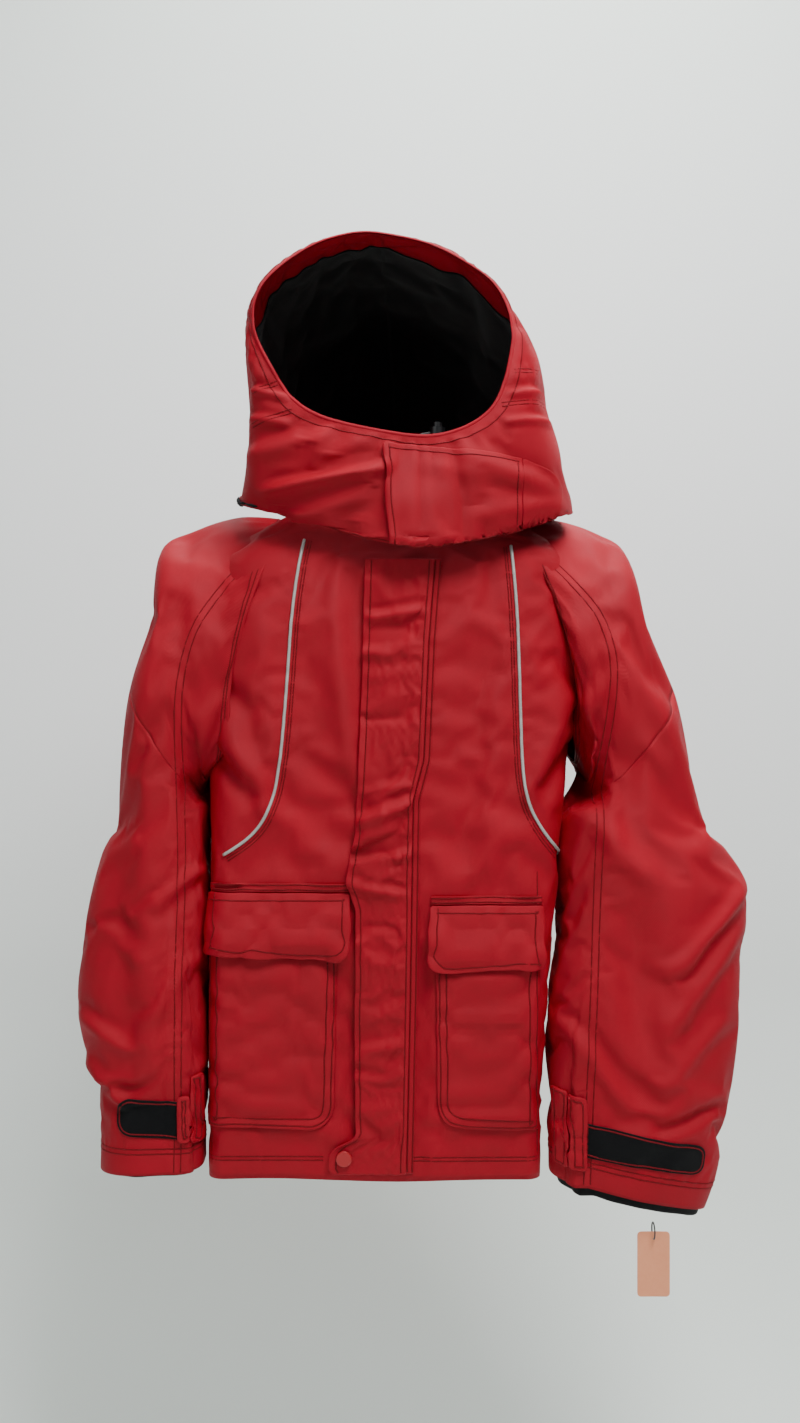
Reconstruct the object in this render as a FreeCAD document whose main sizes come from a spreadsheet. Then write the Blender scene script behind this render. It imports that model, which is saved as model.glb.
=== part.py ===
import FreeCAD, Part
import math
import os

# Foul weather jacket, hanging as it does on a hanger. Millimetres, +Z up, front towards -Y,
# +X is the wearer's left. The origin is the neck of the hanger that the shoulders hang on.

V = FreeCAD.Vector
os.makedirs("parts", exist_ok=True)
doc = FreeCAD.newDocument("foul_weather_jacket")

# ---------------------------------------------------------------- driving dimensions

DRIVING = {
    # cloth
    "shell_cloth": 1.6, "lining_cloth": 1.4, "applied_cloth": 1.4, "gap_bodies": 0.8,
    # torso: front and back planes, corner radii, hem and shoulder levels
    "front_plane": 112.0, "back_plane": 104.0, "front_corner": 20.0, "back_corner": 70.0,
    "hem_level": -715.0, "underarm_level": -312.0, "armhole_foot": -285.0, "chest_level": -150.0,
    "shoulder_level": -114.0, "neck_level": -66.0, "shoulder_plane": 202.0,
    "torso_right": 183.0, "torso_left": 168.0, "hem_left": 139.0, "hem_facing_height": 26.0,
    # neck and stand collar
    "neck_half_width": 105.0, "neck_front": 74.0, "neck_back": 95.0, "collar_height": 48.0,
    # armhole
    "armhole_top": -128.0, "armhole_front": 78.0, "armhole_back": 62.0,
    # storm flap and zip, in the leaning frame of the closure
    "closure_x": 39.0, "closure_lean": 2.57, "closure_top": -119.0, "closure_bottom": -700.0,
    "storm_width": 64.0, "storm_cloth": 2.2, "storm_stand": 4.6, "base_width": 5.0,
    "zip_inset": 32.0, "zip_half_gap": 7.0, "tape_width": 16.0, "tooth_row": 2.9, "tooth_depth": 3.0,
    "tape_cloth": 0.9, "slider_length": 13.0, "slider_width": 9.0, "slider_plate": 1.2,
    "slider_room": 0.5, "slider_rise": -26.0, "puller_length": 30.0,
    "snap_diameter": 15.0, "snap_height": 1.5, "socket_radius": 5.4, "stud_radius": 5.0, "stop_width": 5.6,
    # patch pockets
    "pocket_cloth": 1.8, "pocket_depth": 7.0, "pocket_top": -470.0, "pocket_bottom": -665.0,
    "pocket_right_x": -180.0, "pocket_right_width": 122.0, "pocket_left_x": 37.0,
    "pocket_left_width": 96.0, "pocket_radius": 16.0,
    "flap_height": 68.0, "flap_cloth": 2.4, "flap_radius": 20.0, "flap_hinge_gap": 2.4,
    "flap_right_x": -178.0, "flap_right_width": 134.0, "flap_left_x": 32.0, "flap_left_width": 108.0,
    "flap_right_top": -438.0, "flap_left_top": -450.0,
    "strip_height": 20.0, "strip_thickness": 1.2, "strip_gap": 1.6,
    # piping
    "piping_size": 3.0,
    # hood
    "hood_cloth": 2.0, "face_x": -16.0, "face_z": 96.0, "face_half_width": 116.0,
    "face_half_height": 97.0, "hood_axis_y": 101.0, "hood_axis_z": -24.0, "hood_slope": 0.29,
    "band_level": -3.0, "facing_depth": 26.0, "crown_width": 104.0,
    "chin_left_x": -5.0, "chin_right_x": 118.0, "chin_bottom": -113.0, "chin_top": -8.0,
    "chin_cloth": 2.6, "chin_gap": 2.2,
    # cord lock
    "lock_x": 40.0, "lock_y": -104.0, "lock_z": -0.5, "lock_diameter": 15.0, "lock_height": 17.0,
    "lock_wall": 2.2, "plunger_diameter": 9.0, "plunger_proud": 5.0, "plunger_travel": 3.0,
    "spring_room": 5.0, "spring_wire": 0.7, "cord_diameter": 2.8, "cord_hole": 4.2,
    "eyelet_diameter": 9.0,
    # sleeves
    "cuff_right_level": -716.0, "cuff_left_level": -717.0, "cuff_left_slope": 15.6,
    "gaiter_cloth": 1.6, "gaiter_height": 90.0, "gaiter_proud": 7.0,
    "tab_cloth": 2.4, "tab_height": 38.0,
    # swing tag
    "tag_x": 245.0, "tag_y": -122.4, "tag_hang": -752.6, "tag_width": 31.0, "tag_height": 62.0,
    "tag_thickness": 0.8, "tag_hole": 4.0, "tie_drop": 15.0, "tie_diameter": 1.4,
}

sheet = doc.addObject("Spreadsheet::Sheet", "Dimensions")
for row, (name, value) in enumerate(DRIVING.items(), start=1):
    sheet.set(f"A{row}", name)
    sheet.set(f"B{row}", str(value))
    sheet.setAlias(f"B{row}", name)
doc.recompute()


class Sizes:
    """Reads the sheet, so that a changed cell changes the model."""
    def __getattr__(self, name):
        return float(sheet.get(name))


D = Sizes()
NODES = {}


# ---------------------------------------------------------------- helpers

def keep(label, thing):
    """Registers a sub-part: its label is its file's name."""
    thing.Label = label
    NODES[label] = thing
    return thing


def cloth(label, shape):
    """A sewn panel whose shape comes from a loft cut to its seams."""
    feature = doc.addObject("Part::Feature", label)
    solids = shape.Solids
    feature.Shape = solids[0] if len(solids) == 1 else Part.makeCompound(solids)
    return keep(label, feature)


def at(x, y, z, towards=(0, 0, 1)):
    """A placement at a point, with the primitive's own Z turned towards the given direction."""
    return FreeCAD.Placement(V(x, y, z), FreeCAD.Rotation(V(0, 0, 1), V(*towards)))


def bound(kind, name, place, **sizes):
    """A Part primitive whose sizes are expressions on the sheet's cells."""
    thing = doc.addObject(kind, name)
    for prop, expression in sizes.items():
        thing.setExpression(prop, str(expression))
    thing.Placement = place
    return thing


def rod(name, place, radius, height):
    return bound("Part::Cylinder", name, place, Radius=radius, Height=height)


def block(name, place, length, width, height):
    return bound("Part::Box", name, place, Length=length, Width=width, Height=height)


def less(label, base, *tools):
    """base with the tools taken from it, one cut after another."""
    for index, tool in enumerate(tools):
        cut = doc.addObject("Part::Cut", f"{label}_cut{index}")
        cut.Base, cut.Tool = base, tool
        base = cut
    return base


def joined(label, *things):
    fuse = doc.addObject("Part::MultiFuse", label + "_joined")
    fuse.Shapes = list(things)
    fuse.Refine = True
    return fuse


def grouped(label, *things):
    compound = doc.addObject("Part::Compound", label + "_group")
    compound.Links = list(things)
    return compound


def corner_ring(z, x_low, x_high, y_front, y_back, front_corner, back_corner):
    """A level outline with straight front, back and sides and rounded corners."""
    f, b = front_corner, back_corner
    corners = [(x_low, y_front, f, 180), (x_high, y_front, f, 270), (x_high, y_back, b, 0),
               (x_low, y_back, b, 90)]
    arcs = []
    for x, y, radius, start in corners:
        cx = x + radius if x == x_low else x - radius
        cy = y + radius if y == y_front else y - radius
        points = []
        for step in (0, 45, 90):
            turn = math.radians(start + step)
            points.append(V(cx + radius * math.cos(turn), cy + radius * math.sin(turn), z))
        arcs.append(points)
    edges = []
    for index, points in enumerate(arcs):
        edges.append(Part.Arc(*points).toShape())
        edges.append(Part.makeLine(points[2], arcs[(index + 1) % len(arcs)][0]))
    return Part.Wire(edges)


def oval_ring(z, x_low, x_high, y_front, y_back, power=2.3, count=24):
    """A level superellipse outline through the four given extremes."""
    cx, cy = (x_low + x_high) / 2, (y_front + y_back) / 2
    rx, ry = abs(x_high - x_low) / 2, abs(y_back - y_front) / 2
    points = []
    for index in range(count):
        turn = 2 * math.pi * index / count
        c, s = math.cos(turn), math.sin(turn)
        points.append(V(cx + rx * math.copysign(abs(c) ** (2 / power), c),
                        cy + ry * math.copysign(abs(s) ** (2 / power), s), z))
    curve = Part.BSplineCurve()
    curve.interpolate(points, PeriodicFlag=True)
    return Part.Wire(curve.toShape())


def loft(rings):
    return Part.makeLoft(rings, True, True)


def grown(station, inset):
    z, x_low, x_high, y_front, y_back = station
    low, high = min(x_low, x_high), max(x_low, x_high)
    return z, low + inset, high - inset, y_front + inset, y_back - inset


def slab(x0, x1, y0, y1, z0, z1):
    return Part.makeBox(x1 - x0, y1 - y0, z1 - z0, V(x0, y0, z0))


def region(outline, y0=-400.0, y1=400.0):
    """A prism along Y over an outline given as (x, z) points."""
    points = [V(x, y0, z) for x, z in outline]
    return Part.Face(Part.makePolygon(points + points[:1])).extrude(V(0, y1 - y0, 0))


def curve_points(stops, count=8):
    """Points of a smooth curve through (x, z) stops."""
    curve = Part.BSplineCurve()
    curve.interpolate([V(x, 0, z) for x, z in stops])
    return [(p.x, p.z) for p in curve.discretize(count)]


def ribbon(stops, width):
    """A band of the given width along a curve through (x, z) stops, as a prism along Y."""
    line = curve_points(stops, 14)
    left, right = [], []
    for index, (x, z) in enumerate(line):
        x0, z0 = line[max(index - 1, 0)]
        x1, z1 = line[min(index + 1, len(line) - 1)]
        size = math.hypot(x1 - x0, z1 - z0)
        nx, nz = -(z1 - z0) / size, (x1 - x0) / size
        left.append((x + nx * width / 2, z + nz * width / 2))
        right.append((x - nx * width / 2, z - nz * width / 2))
    return region(left + right[::-1])


def rounded_plate(x0, x1, z0, z1, y_outer, thickness, radius, square_top=True):
    """A plate in the X-Z plane with rounded lower corners, and rounded upper ones if asked."""
    plate = slab(x0, x1, y_outer, y_outer + thickness, z0, z1)
    edges = []
    for edge in plate.Edges:
        mid = edge.CenterOfMass
        along_y = abs(edge.tangentAt(edge.FirstParameter).y) > 0.9
        if along_y and (mid.z < (z0 + z1) / 2 or not square_top):
            edges.append(edge)
    return plate.makeFillet(radius, edges)


# ---------------------------------------------------------------- torso

def torso_stations():
    """Level outlines from hem to neck: z, right side, left side, front, back."""
    front, back = -D.front_plane, D.back_plane
    right, left, wide = -D.torso_right, D.torso_left, D.shoulder_plane
    span = D.underarm_level - D.hem_level
    waist_left = D.hem_left + 0.45 * (left - D.hem_left)
    neck_rise = D.neck_level - D.shoulder_level
    return [
        (D.hem_level, right, D.hem_left, front, back),
        (D.hem_level + 0.2 * span, right, D.hem_left, front, back),
        (D.hem_level + 0.62 * span, right, waist_left, front, back),
        (D.underarm_level, right, left, front, back),
        (D.armhole_foot, -wide, wide, front, back),
        (D.chest_level, -wide, wide, front, back),
        (D.shoulder_level, -wide, wide, front, back - 4),
        (D.shoulder_level + 0.45 * neck_rise, -0.83 * wide, 0.83 * wide, front + 24, back - 5),
        (D.shoulder_level + 0.8 * neck_rise, -0.67 * wide, 0.67 * wide, front + 35, back - 6),
        (D.neck_level, -D.neck_half_width, D.neck_half_width, -D.neck_front, D.neck_back),
    ]


def torso_solid(inset):
    """The torso grown inwards by inset, with its sloping top lowered by as much."""
    rings = []
    for index, station in enumerate(torso_stations()):
        z, x_low, x_high, y_front, y_back = grown(station, inset)
        drop = inset if station[0] > D.chest_level else 0.0
        at_neck = station[0] == D.neck_level
        if at_neck:
            z, drop = z + 0.01, 0.0
        rings.append(corner_ring(z - drop, x_low, x_high, y_front, y_back,
                                 max(D.front_corner - inset, 4.0), max(D.back_corner - inset, 8.0)))
    return loft(rings)


def torso_shell(outer, inner):
    return torso_solid(outer).cut(torso_solid(inner))


def closure_line(z, offset=0.0):
    """X of the closure's hinge line at a level; offset is across the leaning frame."""
    lean = math.radians(D.closure_lean)
    return D.closure_x + (z - D.closure_top) * math.tan(lean) + offset


SHELL = torso_shell(0.0, D.shell_cloth)
ARMHOLES = [slab(D.shoulder_plane - 30, D.shoulder_plane + 30, -D.armhole_front, D.armhole_back,
                 D.armhole_foot + 4, D.armhole_top)]
ARMHOLES.append(ARMHOLES[0].mirror(V(0, 0, 0), V(1, 0, 0)))
for hole in ARMHOLES:
    SHELL = SHELL.cut(hole)

HIGH, LOW, WIDE = 60.0, D.hem_level - 60.0, 400.0
PIPING_RIGHT = [(-84, -84), (-100, -180), (-106, -252), (-111, -312), (-126, -370), (-160, -400),
                (-215, -412)]
PIPING_LEFT = [(104, -84), (117, -180), (119, -252), (121, -314), (130, -362), (160, -404),
               (215, -416)]
RAGLAN_RIGHT = [(-84, -84), (-112, -96), (-160, -135), (-215, -200)]
RAGLAN_LEFT = [(104, -84), (134, -102), (197, -171), (215, -186)]
YOKE_LEVEL = -190.0
SIDE_SEAM_Y = 6.0


def front_regions(piping, raglan, sign):
    """Outlines of the centre front, the chest side and the shoulder on one side."""
    zip_top = closure_line(HIGH, -D.zip_inset + sign * D.zip_half_gap)
    zip_foot = closure_line(LOW, -D.zip_inset + sign * D.zip_half_gap)
    pipe = curve_points(piping, 12)
    top_x = pipe[0][0]
    centre = [(zip_top, HIGH), (top_x, HIGH)] + pipe
    centre += [(sign * WIDE, pipe[-1][1]), (sign * WIDE, LOW), (zip_foot, LOW)]
    chest = pipe + [(sign * WIDE, pipe[-1][1]), (sign * WIDE, raglan[-1][1])] + raglan[:0:-1]
    shoulder = raglan + [(sign * WIDE, raglan[-1][1]), (sign * WIDE, HIGH), (top_x, HIGH)]
    return centre, chest, shoulder


SIDES = {"right": (PIPING_RIGHT, RAGLAN_RIGHT, -1), "left": (PIPING_LEFT, RAGLAN_LEFT, 1)}
piping_band = torso_shell(-D.applied_cloth, 0.0).common(slab(-WIDE, WIDE, -WIDE, -60, LOW, HIGH))
piping_solids = []
for side, (piping, raglan, sign) in SIDES.items():
    centre, chest, shoulder = front_regions(piping, raglan, sign)
    cloth(f"front_panel_{side}", SHELL.common(region(centre, -WIDE, SIDE_SEAM_Y)))
    cloth(f"chest_panel_{side}", SHELL.common(region(chest, -WIDE, SIDE_SEAM_Y)))
    cloth(f"shoulder_panel_{side}", SHELL.common(region(shoulder, -WIDE, SIDE_SEAM_Y)))
    piping_solids += piping_band.common(ribbon(piping[1:-1], D.piping_size)).Solids
cloth("piping", Part.makeCompound(piping_solids))

cloth("back_panel", SHELL.common(slab(-WIDE, WIDE, SIDE_SEAM_Y, WIDE, LOW, YOKE_LEVEL)))
cloth("back_yoke", SHELL.common(slab(-WIDE, WIDE, SIDE_SEAM_Y, WIDE, YOKE_LEVEL, HIGH)))

lining = torso_shell(D.shell_cloth, D.shell_cloth + D.lining_cloth)
for hole in ARMHOLES:
    lining = lining.cut(hole)
tape_reach = D.tooth_row + D.tape_width + 2.0
zip_room = region([(closure_line(HIGH, -D.zip_inset - tape_reach), HIGH),
                   (closure_line(HIGH, -D.zip_inset + tape_reach), HIGH),
                   (closure_line(LOW, -D.zip_inset + tape_reach), LOW),
                   (closure_line(LOW, -D.zip_inset - tape_reach), LOW)], -WIDE, 0)
lining = lining.cut(zip_room)
hem_top = D.hem_level + D.hem_facing_height
cloth("hem_facing", lining.common(slab(-WIDE, WIDE, -WIDE, WIDE, LOW, hem_top)))
cloth("body_lining", lining.common(slab(-WIDE, WIDE, -WIDE, WIDE, hem_top, D.neck_level - 4)))


def neck_ring(z, inset, narrow=0.0):
    return corner_ring(z, -D.neck_half_width + inset + narrow, D.neck_half_width - inset - narrow,
                       -D.neck_front + inset + narrow, D.neck_back - inset,
                       60.0 - inset, D.back_corner - inset)


collar_top = D.neck_level + D.collar_height
collar = loft([neck_ring(D.neck_level + 0.02, 0.0), neck_ring(collar_top, 0.0, 4.0)])
collar = collar.cut(loft([neck_ring(D.neck_level - 1, 3.0), neck_ring(collar_top + 1, 3.0, 4.0)]))
zip_notch = slab(closure_line(D.neck_level, -D.zip_inset - 2), closure_line(D.neck_level, -D.zip_inset + 2),
                 -WIDE, 0, D.neck_level - 10, collar_top + 10)
cloth("stand_collar", collar.cut(zip_notch))

# hanging loop: a tape stitched at both ends to the back of the collar's inside
loop_y = D.neck_back - 3.0
loop = slab(-32, 32, loop_y - 9, loop_y, D.neck_level + 14, D.neck_level + 22)
loop = loop.cut(slab(-22, 22, loop_y - 7.5, loop_y + 1, D.neck_level, D.neck_level + 40))
cloth("hang_loop", loop)


# ---------------------------------------------------------------- closure: zip and storm flap

LEAN = FreeCAD.Rotation(V(0, 1, 0), D.closure_lean)
CLOSURE = FreeCAD.Placement(V(D.closure_x, 0, D.closure_top), LEAN)
closure_height = D.closure_top - D.closure_bottom
zip_x = -D.zip_inset
face_y = -D.front_plane


def in_closure(x, y, z, towards=(0, 0, 1)):
    """A placement given in the leaning frame of the closure."""
    return CLOSURE.multiply(at(x, y, z, towards))


def closure_part(label, shape, rise=0.0):
    """A piece drawn in the leaning frame of the closure: z is measured down from its top."""
    feature = doc.addObject("Part::Feature", label)
    feature.Shape = shape
    feature.Placement = CLOSURE.multiply(FreeCAD.Placement(V(0, 0, rise), FreeCAD.Rotation()))
    return keep(label, feature)


def tooth_row(sign):
    """One row of moulded teeth: a bead with a tooth every pitch, meshing with the other row."""
    pitch, bead = 5.0, 1.2
    inner, outer = zip_x + sign * bead, zip_x + sign * D.tooth_row
    row = slab(min(inner, outer), max(inner, outer), face_y + 0.4, face_y + 0.4 + D.tooth_depth,
               -closure_height + 14, -10)
    teeth = []
    count = int((closure_height - 30) / pitch)
    for index in range(count):
        z = -closure_height + 16 + index * pitch + (pitch / 2 if sign > 0 else 0)
        x0, x1 = sorted((zip_x - sign * bead * 0.9, zip_x + sign * bead))
        teeth.append(slab(x0, x1, face_y + 0.4, face_y + 0.4 + D.tooth_depth, z, z + pitch * 0.42))
    return row.fuse(teeth).removeSplitter()


tapes = []
for sign in (-1, 1):
    x0, x1 = sorted((zip_x + sign * D.tooth_row, zip_x + sign * (D.tooth_row + D.tape_width)))
    tapes.append(slab(x0, x1, face_y + D.shell_cloth, face_y + D.shell_cloth + D.tape_cloth,
                      -closure_height + 6, -4))
closure_part("zip_tapes", Part.makeCompound(tapes))
closure_part("zip_teeth", Part.makeCompound([tooth_row(-1), tooth_row(1)]))

stop_half, stop_y = D.stop_width / 2, face_y + 0.4
keep("zip_stops", grouped("zip_stops",
     block("top_stop", in_closure(zip_x - stop_half, stop_y, -9.5), "Dimensions.stop_width", 3.2, 3.0),
     block("bottom_stop", in_closure(zip_x - stop_half, stop_y, -closure_height + 7),
           "Dimensions.stop_width", 3.2, 6.5)))

# slider: a plate over the closed rows, with cheeks that run along their outer sides and a lug
slider_half = D.slider_width / 2
teeth_front = face_y + 0.4
plate_back = teeth_front - D.slider_room
plate_front = plate_back - D.slider_plate
slider_pieces = [slab(zip_x - slider_half, zip_x + slider_half, plate_front, plate_back, 0, D.slider_length)]
for sign in (-1, 1):
    x0, x1 = sorted((zip_x + sign * (D.tooth_row + D.slider_room), zip_x + sign * slider_half))
    slider_pieces.append(slab(x0, x1, plate_back, plate_back + 1.2, 0, D.slider_length))
lug_front = plate_front - 1.5
slider_pieces.append(slab(zip_x - 1.6, zip_x + 1.6, lug_front, plate_front, 5.5, 11.5))
slider_shape = slider_pieces[0].fuse(slider_pieces[1:]).removeSplitter()
closure_part("zip_slider", slider_shape, D.slider_rise)

# puller: a flat tongue with a window, hung on the slider's lug
pull_foot = D.slider_rise + 9.0 - D.puller_length
tongue = block("puller_tongue", in_closure(zip_x - 3.5, lug_front, pull_foot), 7.0, 1.2,
               "Dimensions.puller_length + 4")
window = block("puller_window", in_closure(zip_x - 2.1, lug_front - 1, D.slider_rise + 4.5), 4.2, 4.0, 7.0)
keep("zip_puller", less("zip_puller", tongue, window))

# storm flap: hinged along its stitched edge, closed by a snap on its lower tab
storm_back = face_y - D.storm_stand
storm_front = storm_back - D.storm_cloth
flap_foot = -closure_height - 10
storm = slab(-D.storm_width, -0.4, storm_front, storm_back, flap_foot, 0)
tab_x = -D.storm_width - 12
tab = region([(-D.storm_width + 1, flap_foot + 40), (tab_x, flap_foot + 24), (tab_x, flap_foot),
              (-D.storm_width + 1, flap_foot)], storm_front, storm_back)
storm_shape = storm.fuse(tab).removeSplitter()
snap_x, snap_z = tab_x + 13.0, flap_foot + 13.5
snap_bore = Part.makeCylinder(3.2, D.storm_cloth + 2, V(snap_x, storm_front - 1, snap_z), V(0, 1, 0))
closure_part("storm_flap", storm_shape.cut(snap_bore))
keep("storm_flap_base", block("base_strip", in_closure(1.6, storm_front, flap_foot), "Dimensions.base_width",
                              "Dimensions.storm_stand + Dimensions.storm_cloth",
                              "Dimensions.closure_top - Dimensions.closure_bottom + 10"))

# snap: cap and socket ride on the flap, the stud stays on the front panel
cap = Part.makeCylinder(D.snap_diameter / 2, D.snap_height, V(snap_x, storm_front, snap_z), V(0, -1, 0))
rim_y = storm_front - D.snap_height
cap = cap.makeFillet(0.6 * D.snap_height, [edge for edge in cap.Edges
                                           if abs(edge.CenterOfMass.y - rim_y) < 0.1])
cap = cap.fuse(Part.makeCylinder(3.0, D.storm_cloth, V(snap_x, storm_front, snap_z), V(0, 1, 0)))
closure_part("snap_cap", cap.removeSplitter())
INTO, OUT = (0, 1, 0), (0, -1, 0)
keep("snap_socket", less(
    "snap_socket", rod("socket_ring", in_closure(snap_x, storm_back, snap_z, INTO), "Dimensions.socket_radius", 1.6),
    rod("socket_bore", in_closure(snap_x, storm_back + 0.4, snap_z, INTO), 2.9, 4)))
keep("snap_stud", joined(
    "snap_stud", rod("stud_foot", in_closure(snap_x, face_y, snap_z, OUT), "Dimensions.stud_radius", 1.2),
    rod("stud_post", in_closure(snap_x, face_y, snap_z, OUT), 2.3, "Dimensions.storm_stand - 0.8")))


# ---------------------------------------------------------------- patch pockets and their flaps

def pocket(label, x0, width):
    """A patch with a bellows side: an open-topped shallow box sewn to the front."""
    x1, cloth_y = x0 + width, face_y - D.pocket_depth
    outer = rounded_plate(x0, x1, D.pocket_bottom, D.pocket_top, cloth_y, D.pocket_depth, D.pocket_radius)
    wall = D.pocket_cloth
    inner = rounded_plate(x0 + wall, x1 - wall, D.pocket_bottom + wall, D.pocket_top + 5,
                          cloth_y + wall, D.pocket_depth, D.pocket_radius - wall)
    return cloth(label, outer.cut(inner))


pocket("pocket_right", D.pocket_right_x, D.pocket_right_width)
pocket("pocket_left", D.pocket_left_x, D.pocket_left_width)

pocket_face = face_y - D.pocket_depth
flap_back = pocket_face - 2 * D.strip_thickness - D.strip_gap
flap_front = flap_back - D.flap_cloth
FLAPS = {"right": (D.flap_right_x, D.flap_right_width, D.flap_right_top),
         "left": (D.flap_left_x, D.flap_left_width, D.flap_left_top)}
seams, loops = [], []
for side, (x, width, top) in FLAPS.items():
    low, strip_low = top - D.flap_height, top - D.flap_height + 8
    cloth(f"pocket_flap_{side}", rounded_plate(x, x + width, low, top - D.flap_hinge_gap, flap_front,
                                               D.flap_cloth, D.flap_radius))
    seams.append(slab(x, x + width, flap_front, face_y, top, top + 8))
    x0, x1 = x + D.flap_radius + 2, x + width - D.flap_radius - 2
    cloth(f"flap_hooks_{side}", slab(x0, x1, flap_back, flap_back + D.strip_thickness,
                                     strip_low, strip_low + D.strip_height))
    loops.append(slab(x0, x1, pocket_face - D.strip_thickness, pocket_face,
                      strip_low, min(strip_low + D.strip_height, D.pocket_top)))
cloth("flap_seams", Part.makeCompound(seams))
cloth("pocket_loops", Part.makeCompound(loops))


# ---------------------------------------------------------------- hood

HOOD_STATIONS = [
    (-114, -150, 166, -134, 101), (-60, -150, 166, -134, 101), (-24, -142, 164, -133, 102),
    (0, -138, 158, -131, 108), (35, -135, 146, -128, 116), (75, -138, 128, -126, 120),
    (130, -137, 112, -122, 118), (165, -122, 98, -112, 104), (188, -92, 74, -90, 80),
    (199, -50, 36, -52, 40),
]


def hood_solid(inset):
    rings = []
    for station in HOOD_STATIONS:
        z, x_low, x_high, y_front, y_back = grown(station, inset)
        z = z - inset if z > 150 else z
        rings.append(oval_ring(z, x_low, x_high, y_front, y_back, 2.6))
    return loft(rings)


def face_prism(extra):
    oval = Part.Ellipse(V(0, 0, 0), D.face_half_width + extra, D.face_half_height + extra)
    face = Part.Face(Part.Wire(oval.toShape()))
    face.rotate(V(0, 0, 0), V(1, 0, 0), 90)
    face.translate(V(D.face_x, 0, D.face_z))
    return face.extrude(V(0, -WIDE, 0))


below = slab(-WIDE, WIDE, -WIDE, WIDE, -300, 0)
below.rotate(V(0, D.hood_axis_y, 0), V(1, 0, 0), math.degrees(math.atan(D.hood_slope)))
below.translate(V(0, 0, D.hood_axis_z))
hood_outer = hood_solid(0.0).cut(face_prism(0)).cut(below)
hood_skin = hood_outer.cut(hood_solid(D.hood_cloth))
hood_inner = hood_solid(D.hood_cloth).cut(hood_solid(D.hood_cloth + D.lining_cloth))
hood_inner = hood_inner.cut(face_prism(0)).cut(below)

crown_low, crown_high = D.face_x - D.crown_width / 2, D.face_x + D.crown_width / 2
upper = slab(-WIDE, WIDE, -WIDE, WIDE, D.band_level, 300)
lower = slab(-WIDE, WIDE, -WIDE, WIDE, -300, D.band_level)
under_face = slab(crown_low, crown_high, -WIDE, -20, D.band_level, 60)
crown_strip = slab(crown_low, crown_high, -WIDE, WIDE, D.band_level, 300).cut(under_face)
cloth("hood_crown", hood_skin.common(crown_strip))
cloth("hood_side_right", hood_skin.common(upper).common(slab(-WIDE, crown_low, -WIDE, WIDE, -300, 300)))
cloth("hood_side_left", hood_skin.common(upper).common(slab(crown_high, WIDE, -WIDE, WIDE, -300, 300)))
cloth("chin_band", hood_skin.common(lower.fuse(under_face)))
rim = face_prism(D.facing_depth)
cloth("hood_facing", hood_inner.common(rim).common(upper))
cloth("hood_lining", hood_inner.cut(rim))

# chin flap: lies over the band in front and opens about its sewn end
chin_y = -134.0 - D.chin_gap - D.chin_cloth
cloth("chin_flap", rounded_plate(D.chin_left_x, D.chin_right_x, D.chin_bottom, D.chin_top, chin_y,
                                 D.chin_cloth, 6.0, square_top=False))
chin_root = slab(D.chin_right_x + 1.8, D.chin_right_x + 9, chin_y, -80.0, D.chin_bottom + 10, D.chin_top)
cloth("chin_flap_seam", chin_root.cut(hood_solid(0.0)))

# cord lock on the hood's drawcord, just inside the lower rim
lock_r = D.lock_diameter / 2
lock_base = D.lock_z - D.lock_height / 2
floor_top = lock_base + D.lock_wall
cord_z = D.lock_z + 3.5
barrel = Part.makeCylinder(lock_r, D.lock_height, V(D.lock_x, D.lock_y, lock_base))
barrel = barrel.makeFillet(1.6, [edge for edge in barrel.Edges
                                 if edge.Closed and edge.CenterOfMass.z < lock_base + 1])
barrel = barrel.cut(Part.makeCylinder(D.plunger_diameter / 2 + 0.4, D.lock_height,
                                      V(D.lock_x, D.lock_y, floor_top)))
cord_bore = Part.makeCylinder(D.cord_hole / 2, 3 * D.lock_diameter,
                              V(D.lock_x - 1.5 * D.lock_diameter, D.lock_y, cord_z), V(1, 0, 0))
cloth("cord_lock_body", barrel.cut(cord_bore))
plunger_low = floor_top + D.spring_room
half_hole = D.cord_hole / 2
plunger = rod("plunger_rod", at(D.lock_x, D.lock_y, plunger_low), "Dimensions.plunger_diameter / 2",
              "Dimensions.lock_height + Dimensions.plunger_proud - Dimensions.lock_wall - Dimensions.spring_room")
slot = block("plunger_slot", at(D.lock_x - 20, D.lock_y - half_hole, cord_z - half_hole), 40,
             "Dimensions.cord_hole", "Dimensions.cord_hole + Dimensions.plunger_travel")
keep("cord_lock_plunger", less("cord_lock_plunger", plunger, slot))
turns = 4
pitch = (D.spring_room - D.spring_wire - 0.2) / (turns - 1)
coils = [bound("Part::Torus", f"coil_{turn}",
               at(D.lock_x, D.lock_y, floor_top + 0.1 + D.spring_wire / 2 + pitch * turn),
               Radius1=2.6, Radius2="Dimensions.spring_wire / 2")
         for turn in range(turns)]
keep("cord_lock_spring", grouped("cord_lock_spring", *coils))

# drawcord: out of one eyelet, through the lock and back into the other
CORD_ROUTE = [(19, -125.4, -9), (19, -104, 3), (61, -104, 3), (61, -122.4, -9)]


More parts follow.
